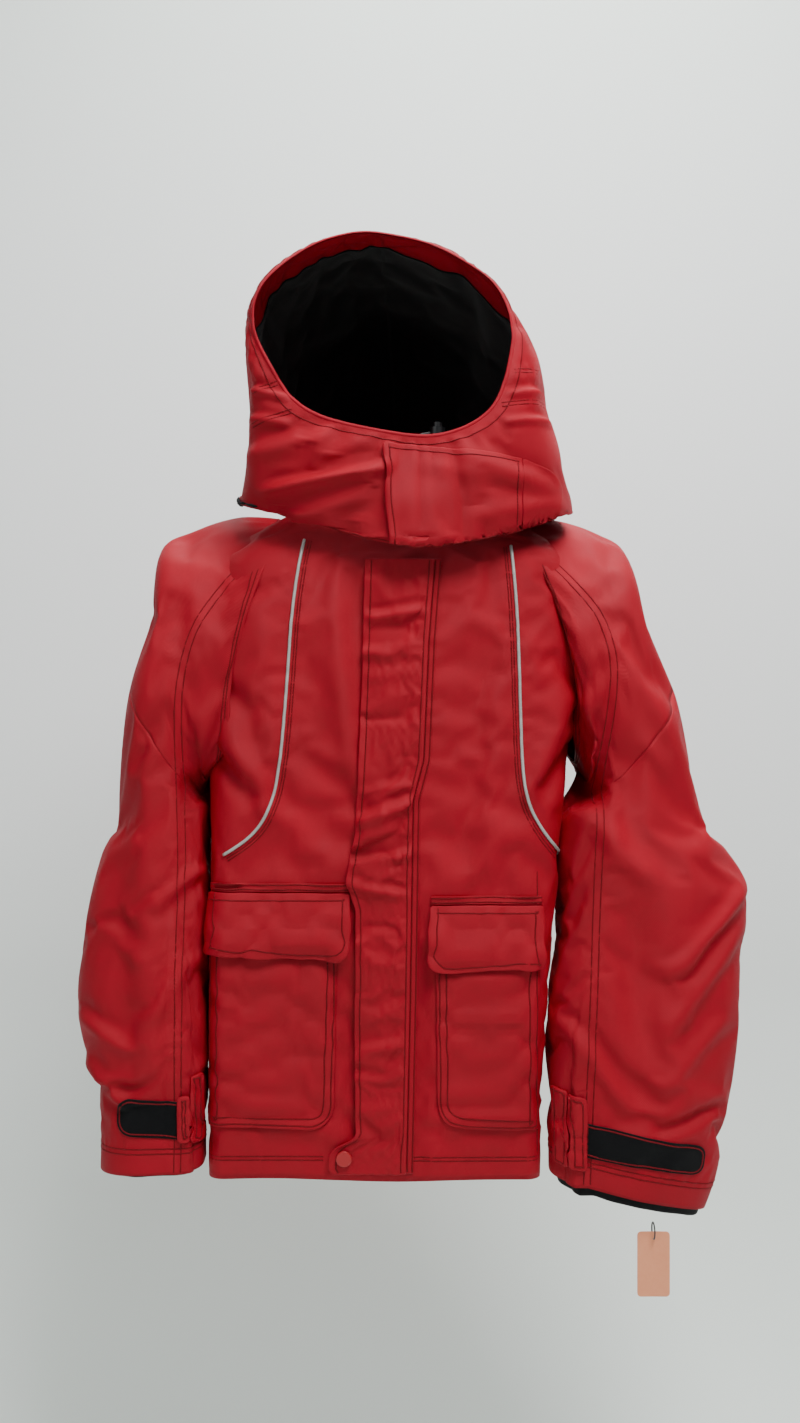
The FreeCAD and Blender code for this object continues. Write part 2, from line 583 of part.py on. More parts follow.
def rounded_route(points, share=0.45):
    """Straight runs joined by tangent arcs, each as large as its two runs allow."""
    points = [V(*point) for point in points]
    edges, start, length = [], points[0], 0.0
    for before, corner, after in zip(points, points[1:], points[2:]):
        into, out = (corner - before).normalize(), (after - corner).normalize()
        turn = math.acos(max(-1.0, min(1.0, into.dot(out))))
        shorter = min((corner - before).Length, (after - corner).Length)
        setback = share * shorter
        radius = setback / math.tan(turn / 2)
        print(f"cord arc radius {radius:.1f}")
        first, last = corner - into * setback, corner + out * setback
        inward = (out - into).normalize()
        middle = corner + inward * (math.hypot(radius, setback) - radius)
        edges += [Part.makeLine(start, first), Part.Arc(first, middle, last).toShape()]
        length += (first - start).Length + radius * turn
        start = last
    edges.append(Part.makeLine(start, points[-1]))
    length += (points[-1] - start).Length
    return Part.Wire(edges), length


def cord_tube(points, diameter):
    route, length = rounded_route(points)
    first, second = V(*points[0]), V(*points[1])
    section = Part.Wire(Part.makeCircle(diameter / 2, first, second - first))
    tube = route.makePipeShell([section], True, True)
    expected = math.pi * (diameter / 2) ** 2 * length
    print(f"cord length {length:.1f}, volume {tube.Volume:.0f} of {expected:.0f}")
    return tube


cloth("hood_drawcord", cord_tube(CORD_ROUTE, D.cord_diameter))
eyelets = []
for index, (x, y, z) in enumerate((CORD_ROUTE[0], CORD_ROUTE[-1])):
    ring = rod(f"eyelet_ring_{index}", at(x, y - 2.0, z, INTO), "Dimensions.eyelet_diameter / 2", 1.6)
    hole = rod(f"eyelet_hole_{index}", at(x, y - 3, z, INTO), "Dimensions.cord_diameter / 2 + 0.4", 4)
    eyelets.append(less(f"eyelet_{index}", ring, hole))
keep("hood_eyelets", grouped("hood_eyelets", *eyelets))


# ---------------------------------------------------------------- sleeves

SLEEVE_RIGHT = [
    (-112, -218, -206, -30, 20), (-124, -228, -200, -62, 52), (-161, -233, -190, -92, 74),
    (-191, -237, -188, -98, 76), (-255, -243, -188, -102, 68), (-314, -256, -188, -106, 52),
    (-403, -279, -188, -114, 24), (-442, -291, -188, -118, 8), (-510, -305, -187, -124, -10),
    (-592, -301, -187, -126, -26), (-618, -288, -187, -126, -32), (-730, -284, -187, -126, -44),
]
SLEEVE_LEFT = [
    (-112, 206, 216, -30, 20), (-124, 200, 226, -62, 52), (-160, 190, 235, -92, 74),
    (-197, 186, 249, -100, 76), (-245, 184, 261, -104, 68), (-314, 177, 280, -112, 52),
    (-360, 169, 292, -122, 30), (-400, 163, 310, -128, 12), (-450, 159, 333, -130, 0),
    (-543, 151, 326, -134, -24), (-630, 147, 312, -136, -38), (-705, 149, 301, -136, -48),
    (-770, 152, 286, -136, -52),
]
SEAM_RIGHT = [(-226, -100), (-217, -164), (-209, -312), (-205, -400), (-208, -635), (-210, -800)]
SEAM_LEFT = [(226, -100), (221, -190), (213, -264), (211, -325), (197, -426), (184, -659), (180, -800)]


def sleeve_solid(stations, inset):
    rings = []
    for station in stations:
        z, x_low, x_high, y_front, y_back = grown(station, inset)
        if z > -150:
            z = z - inset
        rings.append(oval_ring(z, x_low, x_high, y_front, y_back, 2.3))
    return loft(rings)


def cuff_cut(sign):
    """Everything below the cuff's edge; the left cuff slopes down outwards."""
    block = slab(-WIDE, WIDE, -WIDE, WIDE, -400, 0)
    if sign > 0:
        block.rotate(V(0, 0, 0), V(0, 1, 0), D.cuff_left_slope)
        block.translate(V(150, 0, D.cuff_left_level))
    else:
        block.translate(V(0, 0, D.cuff_right_level))
    return block


def build_sleeve(side, stations, seam, sign):
    plane = D.shoulder_plane + D.gap_bodies
    t = D.shell_cloth
    foot = D.underarm_level
    outside = slab(plane, WIDE, -WIDE, WIDE, foot - t, 0)
    hollow_gate = slab(plane - 20, WIDE, -WIDE, WIDE, foot - t, 0)
    if sign < 0:
        outside = outside.mirror(V(0, 0, 0), V(1, 0, 0))
        hollow_gate = hollow_gate.mirror(V(0, 0, 0), V(1, 0, 0))
    low = slab(-WIDE, WIDE, -WIDE, WIDE, -900, foot)
    low_inside = slab(-WIDE, WIDE, -WIDE, WIDE, -900, foot - t)
    reach = outside.fuse(low)
    below_cuff = cuff_cut(sign)
    outer = sleeve_solid(stations, 0.0).common(reach).cut(below_cuff)
    gate = outside.fuse(low_inside)
    skin = outer.cut(sleeve_solid(stations, t).common(gate))
    inside = sleeve_solid(stations, t).common(gate).cut(below_cuff)
    liner = inside.cut(sleeve_solid(stations, t + D.lining_cloth))
    top = region([(sign * WIDE, 0)] + [(x, z) for x, z in [(seam[0][0], 0)] + seam] +
                 [(seam[-1][0], -900), (sign * WIDE, -900)])
    cloth(f"topsleeve_{side}", skin.common(top))
    cloth(f"undersleeve_{side}", skin.cut(top))
    cloth(f"sleeve_lining_{side}", liner)
    gaiter_in = t + D.lining_cloth
    gaiter = sleeve_solid(stations, gaiter_in).cut(sleeve_solid(stations, gaiter_in + D.gaiter_cloth))
    floor = cuff_cut(sign)
    floor.translate(V(0, 0, -D.gaiter_proud))
    ceiling = cuff_cut(sign)
    ceiling.translate(V(0, 0, D.gaiter_height))
    cloth(f"inner_cuff_{side}", gaiter.common(ceiling).cut(floor))
    return sleeve_solid(stations, -D.applied_cloth).cut(sleeve_solid(stations, 0.0))


def cuff_fittings(side, stations, seam, sign, front, strip, tab_x, tab_low, root_x):
    """Loop strip sewn round the cuff, the tab that grips it and the tab's sewn root."""
    band = build_sleeve(side, stations, seam, sign)
    ahead = slab(-WIDE, WIDE, -WIDE, front + 45, -900, 0)
    cloth(f"loop_strip_{side}", band.common(region(strip)).common(ahead))
    tab_back = front - D.applied_cloth - 2.4
    cloth(f"cuff_tab_{side}", rounded_plate(*tab_x, tab_low, tab_low + D.tab_height, tab_back - D.tab_cloth,
                                            D.tab_cloth, 4.0, False))
    root = slab(*root_x, tab_back - D.tab_cloth, front + 50, tab_low + 3, tab_low + D.tab_height - 3)
    cloth(f"cuff_tab_root_{side}", root.cut(sleeve_solid(stations, 0.0)))


cuff_fittings("right", SLEEVE_RIGHT, SEAM_RIGHT, -1, -126.0,
              [(-268, -633), (-204, -633), (-204, -669), (-268, -669)], (-216, -197), -672, (-195, -189))
cuff_fittings("left", SLEEVE_LEFT, SEAM_LEFT, 1, -136.0,
              [(186, -662), (296, -684), (292, -712), (186, -690)], (164, 196), -696, (155, 162))

# swing tag: its tie is a loop through the tag's hole and round the edge of the left inner cuff
tie_radius = D.tie_drop / 2
hole_z = D.tag_hang - D.tie_drop
tag_top = hole_z + D.tag_hole * 1.75
card = block("tag_blank", at(D.tag_x - D.tag_width / 2, D.tag_y, tag_top - D.tag_height),
             "Dimensions.tag_width", "Dimensions.tag_thickness", "Dimensions.tag_height")
punch = rod("tag_punch", at(D.tag_x, D.tag_y - 2, hole_z, INTO), "Dimensions.tag_hole / 2", 4)
keep("swing_tag", less("swing_tag", card, punch))
tie_y = D.tag_y + D.tag_thickness / 2
keep("tag_tie", bound("Part::Torus", "tie_ring", at(D.tag_x, tie_y, D.tag_hang - tie_radius, (1, 0, 0)),
                      Radius1="Dimensions.tie_drop / 2", Radius2="Dimensions.tie_diameter / 2"))


# ---------------------------------------------------------------- check and write

doc.recompute()
for thing in doc.Objects:
    if "Invalid" in thing.State or "Error" in thing.State:
        raise RuntimeError(f"{thing.Name} is {thing.State}")
for label, thing in NODES.items():
    shape = thing.Shape
    if shape.isNull() or not shape.isValid() or not shape.Solids:
        raise RuntimeError(f"{label} has no valid solid")
    print(f"{label:22s} solids {len(shape.Solids)}  volume {shape.Volume / 1000:9.2f} cm3")
for label, thing in NODES.items():
    thing.Shape.exportStep(f"parts/{label}.step")
print(len(NODES), "nodes")
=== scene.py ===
# %% [markdown]
# # A foul weather jacket
# The real object is a hooded sailing jacket in coated woven nylon, hanging on its shoulders. The CAD frame gives
# every piece's place, its size and what it moves with. Here each cloth piece is laid out as a grid of points, sewn
# details are placed on that grid, and the main cloths are settled by simulation before the details go on.

# %% Load the frame
import math
import bpy
import numpy as np
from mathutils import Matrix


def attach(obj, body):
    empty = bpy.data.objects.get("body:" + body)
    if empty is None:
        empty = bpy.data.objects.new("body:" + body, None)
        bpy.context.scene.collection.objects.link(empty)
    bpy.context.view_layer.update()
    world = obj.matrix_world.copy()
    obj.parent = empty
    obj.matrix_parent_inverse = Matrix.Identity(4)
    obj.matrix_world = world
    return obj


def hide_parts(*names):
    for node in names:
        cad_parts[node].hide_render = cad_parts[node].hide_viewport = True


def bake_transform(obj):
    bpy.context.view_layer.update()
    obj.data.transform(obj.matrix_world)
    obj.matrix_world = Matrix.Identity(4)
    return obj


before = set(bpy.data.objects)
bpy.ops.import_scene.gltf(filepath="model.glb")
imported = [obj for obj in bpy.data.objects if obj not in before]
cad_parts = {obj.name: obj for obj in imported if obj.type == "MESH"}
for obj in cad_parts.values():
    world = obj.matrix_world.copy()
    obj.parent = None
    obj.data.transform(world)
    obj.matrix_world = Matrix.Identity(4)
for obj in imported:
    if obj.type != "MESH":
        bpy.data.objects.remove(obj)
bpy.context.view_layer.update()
MM = 0.001
SHELL, LINING = 0.0014, 0.001    # thickness of the two cloths
LINING_DEPTH = 0.0045            # how far the lining hangs behind the shell

# %% [markdown]
# ## Where the eye stands
# A garment is easiest to shape in the plane in which it is looked at. The camera stands level, in front of the chest.

# %% Camera
CHEST_Y = -0.110
EYE = np.array([0.0038, CHEST_Y - 1.25, -0.2659])
camera_data = bpy.data.cameras.new("camera")
camera_data.lens = 32.9
camera = bpy.data.objects.new("camera", camera_data)
camera.location = EYE
camera.rotation_euler = (math.pi / 2, 0, 0)
bpy.context.scene.collection.objects.link(camera)
bpy.context.scene.camera = camera
print("camera at", [round(value, 3) for value in EYE])

# %% [markdown]
# ## A grid of cloth
# A tailor thinks of cloth in two directions, across and along. `Cloth` keeps a grid of points that way, so that a
# seam or a pocket can be put at a place on the cloth and stays there when the cloth is folded or simulated.

# %% Grids and curves
def spread(values, count, soften=0.0):
    """Rows of a table spread evenly to count rows, with their corners softened."""
    values = np.asarray(values, float)
    places = np.linspace(0, len(values) - 1, count)
    columns = [np.interp(places, np.arange(len(values)), column) for column in values.T]
    out = np.stack(columns, axis=1)
    if soften:
        width = soften * count / (len(values) - 1)
        reach = int(3 * width) + 1
        kernel = np.exp(-0.5 * (np.arange(-reach, reach + 1) / width) ** 2)
        kernel /= kernel.sum()
        lead = 2 * out[0] - out[1:reach + 1][::-1]
        tail = 2 * out[-1] - out[-reach - 1:-1][::-1]
        padded = np.concatenate([lead, out, tail])
        out = np.stack([np.convolve(column, kernel, "valid") for column in padded.T], axis=1)
    return out


def unit(vectors):
    return vectors / np.maximum(np.linalg.norm(vectors, axis=-1, keepdims=True), 1e-9)


class Cloth:
    """A grid of points, across (u) and along (v). closed says that u runs round a tube."""

    def __init__(self, points, closed=False, flip=False):
        self.p, self.closed, self.flip = np.asarray(points, float), closed, flip

    def normals(self):
        p = self.p
        du = np.roll(p, -1, 0) - np.roll(p, 1, 0) if self.closed else np.gradient(p, axis=0)
        dv = np.gradient(p, axis=1)
        n = unit(np.cross(du, dv))
        return -n if self.flip else n

    def sample(self, table, u, v):
        nu, nv = self.p.shape[:2]
        span = nu if self.closed else nu - 1
        fu = np.asarray(u, float) * span
        fv = np.clip(np.asarray(v, float), 0, 1) * (nv - 1)
        if not self.closed:
            fu = np.clip(fu, 0, span)
        iu = np.floor(fu).astype(int)
        iv = np.minimum(np.floor(fv).astype(int), nv - 2)
        if not self.closed:
            iu = np.minimum(iu, nu - 2)
        a, b = (fu - iu)[..., None], (fv - iv)[..., None]
        i0, i1 = iu % nu, (iu + 1) % nu
        return ((1 - a) * (1 - b) * table[i0, iv] + a * (1 - b) * table[i1, iv]
                + (1 - a) * b * table[i0, iv + 1] + a * b * table[i1, iv + 1])

    def at(self, u, v, lift=0.0):
        """Points of the cloth, lifted off it along its normal."""
        lift = np.broadcast_to(np.asarray(lift, float), np.shape(u))[..., None]
        return self.sample(self.p, u, v) + self.sample(self.normals(), u, v) * lift

    def locate(self, x, z):
        """(u, v) of the places that lie at (x, z) on the side that faces forwards."""
        x, z = np.asarray(x, float).ravel(), np.asarray(z, float).ravel()
        nu, nv = self.p.shape[:2]
        span = nu if self.closed else nu - 1
        facing = (self.normals()[..., 1] < -0.35).ravel()
        flat = self.p.reshape(-1, 3)
        index = np.flatnonzero(facing)
        candidates = flat[index]
        best = np.empty(len(x), int)
        for start in range(0, len(x), 400):
            part = slice(start, start + 400)
            gap = (candidates[None, :, 0] - x[part, None]) ** 2 + (candidates[None, :, 2] - z[part, None]) ** 2
            best[part] = index[np.argmin(gap, axis=1)]
        u, v = (best // nv) / span, (best % nv) / (nv - 1)
        step_u, step_v = 0.5 / span, 0.5 / (nv - 1)
        for _ in range(4):
            here = self.sample(self.p, u, v)
            du = (self.sample(self.p, u + step_u, v) - self.sample(self.p, u - step_u, v)) / (2 * step_u)
            dv = (self.sample(self.p, u, v + step_v) - self.sample(self.p, u, v - step_v)) / (2 * step_v)
            ex, ez = x - here[:, 0], z - here[:, 2]
            det = du[:, 0] * dv[:, 2] - du[:, 2] * dv[:, 0]
            det = np.where(np.abs(det) < 1e-6, 1e-6, det)
            move_u = np.clip((ex * dv[:, 2] - ez * dv[:, 0]) / det, -3 * step_u, 3 * step_u)
            move_v = np.clip((ez * du[:, 0] - ex * du[:, 2]) / det, -3 * step_v, 3 * step_v)
            u, v = u + move_u, np.clip(v + move_v, 0, 1)
        return u, v

    def on(self, x, z, lift=0.0):
        """Points of the cloth at (x, z) as seen from the front, lifted off it."""
        shape = np.shape(x)
        u, v = self.locate(x, z)
        lift = np.broadcast_to(np.asarray(lift, float), shape).ravel()
        return self.at(u, v, lift).reshape(shape + (3,))

    def facing(self, x, z):
        shape = np.shape(x)
        u, v = self.locate(x, z)
        return unit(self.sample(self.normals(), u, v)).reshape(shape + (3,))


def make_object(name, verts, faces, uvs, material, smooth=True):
    """A mesh object from points, faces and one UV pair per point, in metres of cloth."""
    mesh = bpy.data.meshes.new(name)
    mesh.from_pydata([tuple(point) for point in np.asarray(verts)], [], faces)
    layer = mesh.uv_layers.new(name="cloth")
    loops = np.empty(len(mesh.loops), int)
    mesh.loops.foreach_get("vertex_index", loops)
    layer.data.foreach_set("uv", np.asarray(uvs, float)[loops].ravel())
    mesh.polygons.foreach_set("use_smooth", [smooth] * len(mesh.polygons))
    mesh.update()
    obj = bpy.data.objects.new(name, mesh)
    bpy.context.scene.collection.objects.link(obj)
    if material:
        mesh.materials.append(material)
    return obj


def grid_faces(nu, nv, closed, flip):
    faces = []
    for i in range(nu if closed else nu - 1):
        k = (i + 1) % nu
        for j in range(nv - 1):
            face = (i * nv + j, k * nv + j, k * nv + j + 1, i * nv + j + 1)
            faces.append(face[::-1] if flip else face)
    return faces


def cloth_object(name, cloth, material, thickness=0.0, levels=1):
    """The grid as a mesh, with its thickness inwards and one round of subdivision."""
    nu, nv = cloth.p.shape[:2]
    across = np.linalg.norm(np.diff(cloth.p, axis=0), axis=2).mean() * np.arange(nu)
    along = np.linalg.norm(np.diff(cloth.p, axis=1), axis=2).mean() * np.arange(nv)
    uvs = np.stack(np.meshgrid(across, along, indexing="ij"), axis=2).reshape(-1, 2)
    obj = make_object(name, cloth.p.reshape(-1, 3), grid_faces(nu, nv, cloth.closed, cloth.flip), uvs, material)
    if thickness:
        solid = obj.modifiers.new("thickness", "SOLIDIFY")
        solid.thickness, solid.offset = thickness, -1
    if levels:
        smooth = obj.modifiers.new("smooth", "SUBSURF")
        smooth.levels = smooth.render_levels = levels
    return obj


# %% [markdown]
# ## Letting the cloth settle
# Coated nylon doesn't stretch, so where it is held at its seams and has a little too much length it buckles. The
# simulation is given cloth that is slightly larger than its shape, held firmly at the seams and softly elsewhere.

# %% Cloth simulation
def settle(cloth, hold, frames=16, grow=0.02, bending=6.0, cap=0.012, weight=1.0):
    """Runs Cloth on the grid. hold is 1 where it is sewn and small where it may move."""
    nu, nv = cloth.p.shape[:2]
    obj = make_object("settling", cloth.p.reshape(-1, 3), grid_faces(nu, nv, cloth.closed, cloth.flip),
                      np.zeros((nu * nv, 2)), None)
    group = obj.vertex_groups.new(name="hold")
    for step in range(41):
        chosen = np.flatnonzero(np.round(hold.ravel() * 40).astype(int) == step)
        if len(chosen):
            group.add(chosen.tolist(), step / 40, "REPLACE")
    modifier = obj.modifiers.new("cloth", "CLOTH")
    settings = modifier.settings
    settings.quality = 5
    settings.mass = 0.25
    settings.vertex_group_mass = "hold"
    settings.pin_stiffness = 1.0
    settings.tension_stiffness = settings.compression_stiffness = 30
    settings.shear_stiffness = 12
    settings.bending_stiffness = bending
    settings.shrink_min = -grow
    settings.air_damping = 2
    settings.effector_weights.gravity = weight
    modifier.collision_settings.use_collision = False
    modifier.point_cache.frame_end = frames
    scene = bpy.context.scene
    for step in range(1, frames + 1):
        scene.frame_set(step)
    posed = obj.evaluated_get(bpy.context.evaluated_depsgraph_get()).data
    moved = np.empty(nu * nv * 3)
    posed.vertices.foreach_get("co", moved)
    shift = moved.reshape(nu, nv, 3) - cloth.p
    far = np.linalg.norm(shift, axis=2, keepdims=True)
    shift *= np.minimum(1, cap / np.maximum(far, 1e-9))
    print(f"settled {nu * nv} points, moved up to {far.max() / MM:.1f} mm, kept to {cap / MM:.0f} mm")
    bpy.data.objects.remove(obj, do_unlink=True)
    scene.frame_set(1)
    return Cloth(cloth.p + shift, cloth.closed, cloth.flip)


def ripple(places, scale, seed):
    """Smooth noise from a few waves in fixed random directions, about -1 to 1."""
    source = np.random.default_rng(seed)
    total = np.zeros(places.shape[:-1])
    for _ in range(9):
        way = unit(source.normal(size=3)) / (scale * (0.6 + 0.8 * source.random()))
        total += np.sin(2 * math.pi * (places @ way) + source.uniform(0, 2 * math.pi))
    return total / 4.5


def fold(cloth, x0, z0, x1, z1, width, depth, lean=0.0):
    """A fold line on the front of the cloth from one (x, z) to another, in millimetres. depth is outwards."""
    p, n = cloth.p, cloth.normals()
    a, b = np.array([x0, z0]) * MM, np.array([x1, z1]) * MM
    way = b - a
    length = np.linalg.norm(way)
    way = way / length
    here = p[..., [0, 2]] - a
    along = here @ way / length
    across = (here @ np.array([-way[1], way[0]])) / (width * MM)
    ends = np.clip(np.minimum(along, 1 - along) * 3.5 + 0.5, 0, 1)
    shape = np.exp(-across ** 2) - 0.45 * np.exp(-((across - 1.5 - lean) / 1.1) ** 2)
    front = np.clip(-n[..., 1] * 2.0, 0, 1)
    amount = depth * MM * shape * np.sin(ends * math.pi / 2) ** 2 * front
    return Cloth(p + n * amount[..., None], cloth.closed, cloth.flip)


# %% [markdown]
# ## Finishes
# A finish is a small graph of nodes. `Value` wraps one socket of it, so that the graph is written as arithmetic:
# adding two values adds a Math node. What is the same all over a surface is set on the shader's own socket.

# %% Shader expressions
class Value:
    """A socket of a material's nodes, used in expressions."""

    def __init__(self, finish, socket):
        self.finish, self.socket = finish, socket

    def math(self, operation, *values):
        inputs = {index: value for index, value in enumerate((self,) + values)}
        return self.finish.node("ShaderNodeMath", {"operation": operation}, inputs)

    def __add__(self, other):
        return self.math("ADD", other)

    def __mul__(self, other):
        return self.math("MULTIPLY", other)

    def __sub__(self, other):
        return self.math("SUBTRACT", other)

    def __rsub__(self, other):
        return self.finish.node("ShaderNodeMath", {"operation": "SUBTRACT"}, {0: other, 1: self})

    __radd__, __rmul__ = __add__, __mul__

    def sine(self):
        return self.math("SINE")

    def clamp(self):
        return self.finish.node("ShaderNodeClamp", {}, {"Value": self})


class Finish:
    """A material with one Principled shader, built from values."""

    def __init__(self, name, **constants):
        self.material = bpy.data.materials.new(name)
        self.material.use_nodes = True
        self.tree = self.material.node_tree
        self.shader = self.tree.nodes["Principled BSDF"]
        for socket, value in constants.items():
            self.shader.inputs[socket.replace("_", " ").title().replace("Ior", "IOR")].default_value = value

    def node(self, kind, settings, inputs, output=0):
        node = self.tree.nodes.new(kind)
        for setting, value in settings.items():
            setattr(node, setting, value)
        for key, value in inputs.items():
            if isinstance(value, Value):
                self.tree.links.new(value.socket, node.inputs[key])
            else:
                node.inputs[key].default_value = value
        return Value(self, node.outputs[output])

    def mix(self, share, first, second):
        return self.node("ShaderNodeMix", {"data_type": "RGBA"}, {0: share, 6: first, 7: second}, 2)

    def noise(self, where, scale, detail=3.0, roughness=0.55):
        return self.node("ShaderNodeTexNoise", {}, {"Vector": where, "Scale": scale, "Detail": detail,
                                                    "Roughness": roughness})

    def set(self, socket, value):
        self.tree.links.new(value.socket, self.shader.inputs[socket])

    def bump(self, height, distance, strength=1.0):
        self.set("Normal", self.node("ShaderNodeBump", {}, {"Height": height, "Distance": distance,
                                                            "Strength": strength}))

    def places(self, kind="UV"):
        return self.node("ShaderNodeTexCoord", {}, {}, {"UV": 2, "Object": 3}[kind])

    def parts(self, vector):
        split = self.tree.nodes.new("ShaderNodeSeparateXYZ")
        self.tree.links.new(vector.socket, split.inputs[0])
        return [Value(self, output) for output in split.outputs]


def rgb(red, green, blue):
    """A colour from its 0 to 255 values on screen."""
    linear = [((c / 255 + 0.055) / 1.055) ** 2.4 if c > 10 else c / 255 / 12.92 for c in (red, green, blue)]
    return (*linear, 1.0)


# %% [markdown]
# ## The red shell
# The real cloth is a coated nylon with a fine twill: slanting ribs about a millimetre apart. The ribs are a sine
# of the cloth's own coordinates, with a slower noise for uneven dye and a little fading.

# %% Red shell cloth
def woven(name, bright, dark, rib=0.0011, depth=0.00022, roughness=0.62, sheen=0.25):
    finish = Finish(name, sheen_weight=sheen, sheen_roughness=0.45, specular_ior_level=0.24)
    finish.shader.inputs["Sheen Tint"].default_value = rgb(255, 90, 90)
    cloth = finish.places("UV")
    room = finish.places("Object")
    across, along, _ = finish.parts(cloth)
    ribs = ((across + along * 0.8) * (2 * math.pi / rib)).sine() * 0.5 + 0.5
    yarns = ((along - across * 0.25) * (2 * math.pi / (rib * 0.62))).sine() * 0.5 + 0.5
    slub = finish.noise(cloth, 420.0, 2.0)
    patchy = finish.noise(room, 9.0, 4.0)
    faded = finish.noise(room, 38.0, 3.0)
    tone = (patchy * 0.55 + faded * 0.3 + ribs * 0.22 + slub * 0.18 - 0.12).clamp()
    finish.set("Base Color", finish.mix(tone, dark, bright))
    finish.set("Roughness", (faded * 0.2 + roughness - 0.1).clamp())
    finish.bump(ribs * 0.6 + yarns * 0.25 + slub * 0.35, depth)
    return finish.material


RED = woven("red_shell", rgb(186, 1, 36), rgb(124, 0, 18), sheen=0.03)
# Darker red for the stitches and the seam groove strips: painted shade along the seams.
RED_SEAM_PAINTED_SHADE = woven("red_thread_painted_shade", rgb(140, 1, 20), rgb(90, 0, 11), sheen=0.05, rib=0.0006, depth=0.0001, roughness=0.7)
RED_TAPE = woven("red_tape", rgb(160, 10, 22), rgb(110, 5, 12), sheen=0.05, rib=0.0016, depth=0.0003)
print("red finishes made")

# %% [markdown]
# ## Black cloths and the small hardware
# Fleece is rough with a soft pile, loop tape is a tangle of tiny loops, and the hardware is moulded or painted.

# %% Other finishes
def pile(name, bright, dark, scale, depth, roughness=0.95, sheen=0.5):
    finish = Finish(name, sheen_weight=sheen, sheen_roughness=0.6, specular_ior_level=0.15)
    cloth = finish.places("UV")
    tufts = finish.noise(cloth, scale, 4.0, 0.7)
    clumps = finish.noise(cloth, scale * 0.12, 3.0)
    finish.set("Base Color", finish.mix((tufts * 0.8 + clumps * 0.4 - 0.1).clamp(), dark, bright))
    finish.set("Roughness", (tufts * 0.1 + roughness - 0.08).clamp())
    finish.bump(tufts + clumps * 0.6, depth)
    return finish.material


def plain(name, bright, dark, scale, depth, roughness, metallic=0.0, **constants):
    finish = Finish(name, metallic=metallic, **constants)
    room = finish.places("Object")
    grain = finish.noise(room, scale, 3.0)
    wear = finish.noise(room, scale * 0.15, 2.0)
    finish.set("Base Color", finish.mix((grain * 0.6 + wear * 0.5 - 0.1).clamp(), dark, bright))
    finish.set("Roughness", (wear * 0.3 + roughness - 0.15).clamp())
    finish.bump(grain, depth)
    return finish.material


FLEECE = pile("black_fleece", rgb(16, 16, 18), rgb(3, 3, 4), 900.0, 0.0008, sheen=0.1)
LOOPS = pile("loop_tape", rgb(15, 15, 18), rgb(2, 2, 3), 1400.0, 0.0009, sheen=0.04)
RIB = pile("black_knit", rgb(20, 20, 22), rgb(5, 5, 6), 1100.0, 0.0005, sheen=0.1)
PIPING = plain("reflective_piping", rgb(205, 205, 200), rgb(150, 150, 148), 900.0, 0.0001, 0.42, 0.15)
ENAMEL = plain("snap_enamel", rgb(188, 14, 26), rgb(150, 8, 18), 60.0, 0.00002, 0.42, coat_weight=0.2)
STEEL = plain("nickel", rgb(190, 188, 182), rgb(150, 148, 144), 300.0, 0.00002, 0.34, 1.0)
PLASTIC = plain("black_plastic", rgb(24, 24, 26), rgb(8, 8, 9), 400.0, 0.00005, 0.3, coat_weight=0.3)
CORD = pile("black_cord", rgb(34, 34, 36), rgb(9, 9, 10), 1600.0, 0.0003, 0.8)
CARD = plain("peach_card", rgb(250, 168, 128), rgb(242, 150, 110), 260.0, 0.00008, 0.8)
print("materials:", len(bpy.data.materials))

# %% [markdown]
# ## Sewn details
# Seams are swept along lines drawn on the cloth: a lap of cloth, a groove where the thread pulls it down, and the
# stitches themselves. Each detail is real geometry a fraction of a millimetre off the cloth. The groove is a thin
# strip and, like the stitches, is coloured a darker red than the cloth: painted shade along the seams.

# %% Sweeps, stitches and patches
class Pile:
    """Gathers many small shapes into one mesh."""

    def __init__(self):
        self.verts, self.faces, self.uvs = [], [], []

    def add(self, verts, faces, uvs):
        start = sum(len(block) for block in self.verts)
        self.verts.append(np.asarray(verts, float).reshape(-1, 3))
        self.uvs.append(np.asarray(uvs, float).reshape(-1, 2))
        self.faces += [tuple(start + index for index in face) for face in faces]

    def object(self, name, material, smooth=True):
        return make_object(name, np.concatenate(self.verts), self.faces, np.concatenate(self.uvs), material, smooth)


def trail(points, pitch=0.004, soften=0.0):
    """(x, z) points in millimetres as an evenly spaced line in metres."""
    points = np.asarray(points, float) * MM
    if soften:
        points = spread(points, 12 * len(points), soften)
    run = np.concatenate([[0], np.cumsum(np.linalg.norm(np.diff(points, axis=0), axis=1))])
    count = max(int(run[-1] / pitch), 2)
    places = np.linspace(0, run[-1], count + 1)
    return np.stack([np.interp(places, run, points[:, axis]) for axis in (0, 1)], axis=1)


def beside(line, offset):
    """The line moved sideways by offset, to the left of its direction."""
    way = unit(np.gradient(line, axis=0))
    return line + np.stack([-way[:, 1], way[:, 0]], axis=1) * offset


def lay(cloth, line, lift=0.0):
    """Places, directions and normals of a line of (x, z) points laid on the cloth."""
    places = cloth.on(line[:, 0], line[:, 1], lift)
    normals = cloth.facing(line[:, 0], line[:, 1])
    ways = unit(np.gradient(places, axis=0))
    return places, ways, normals


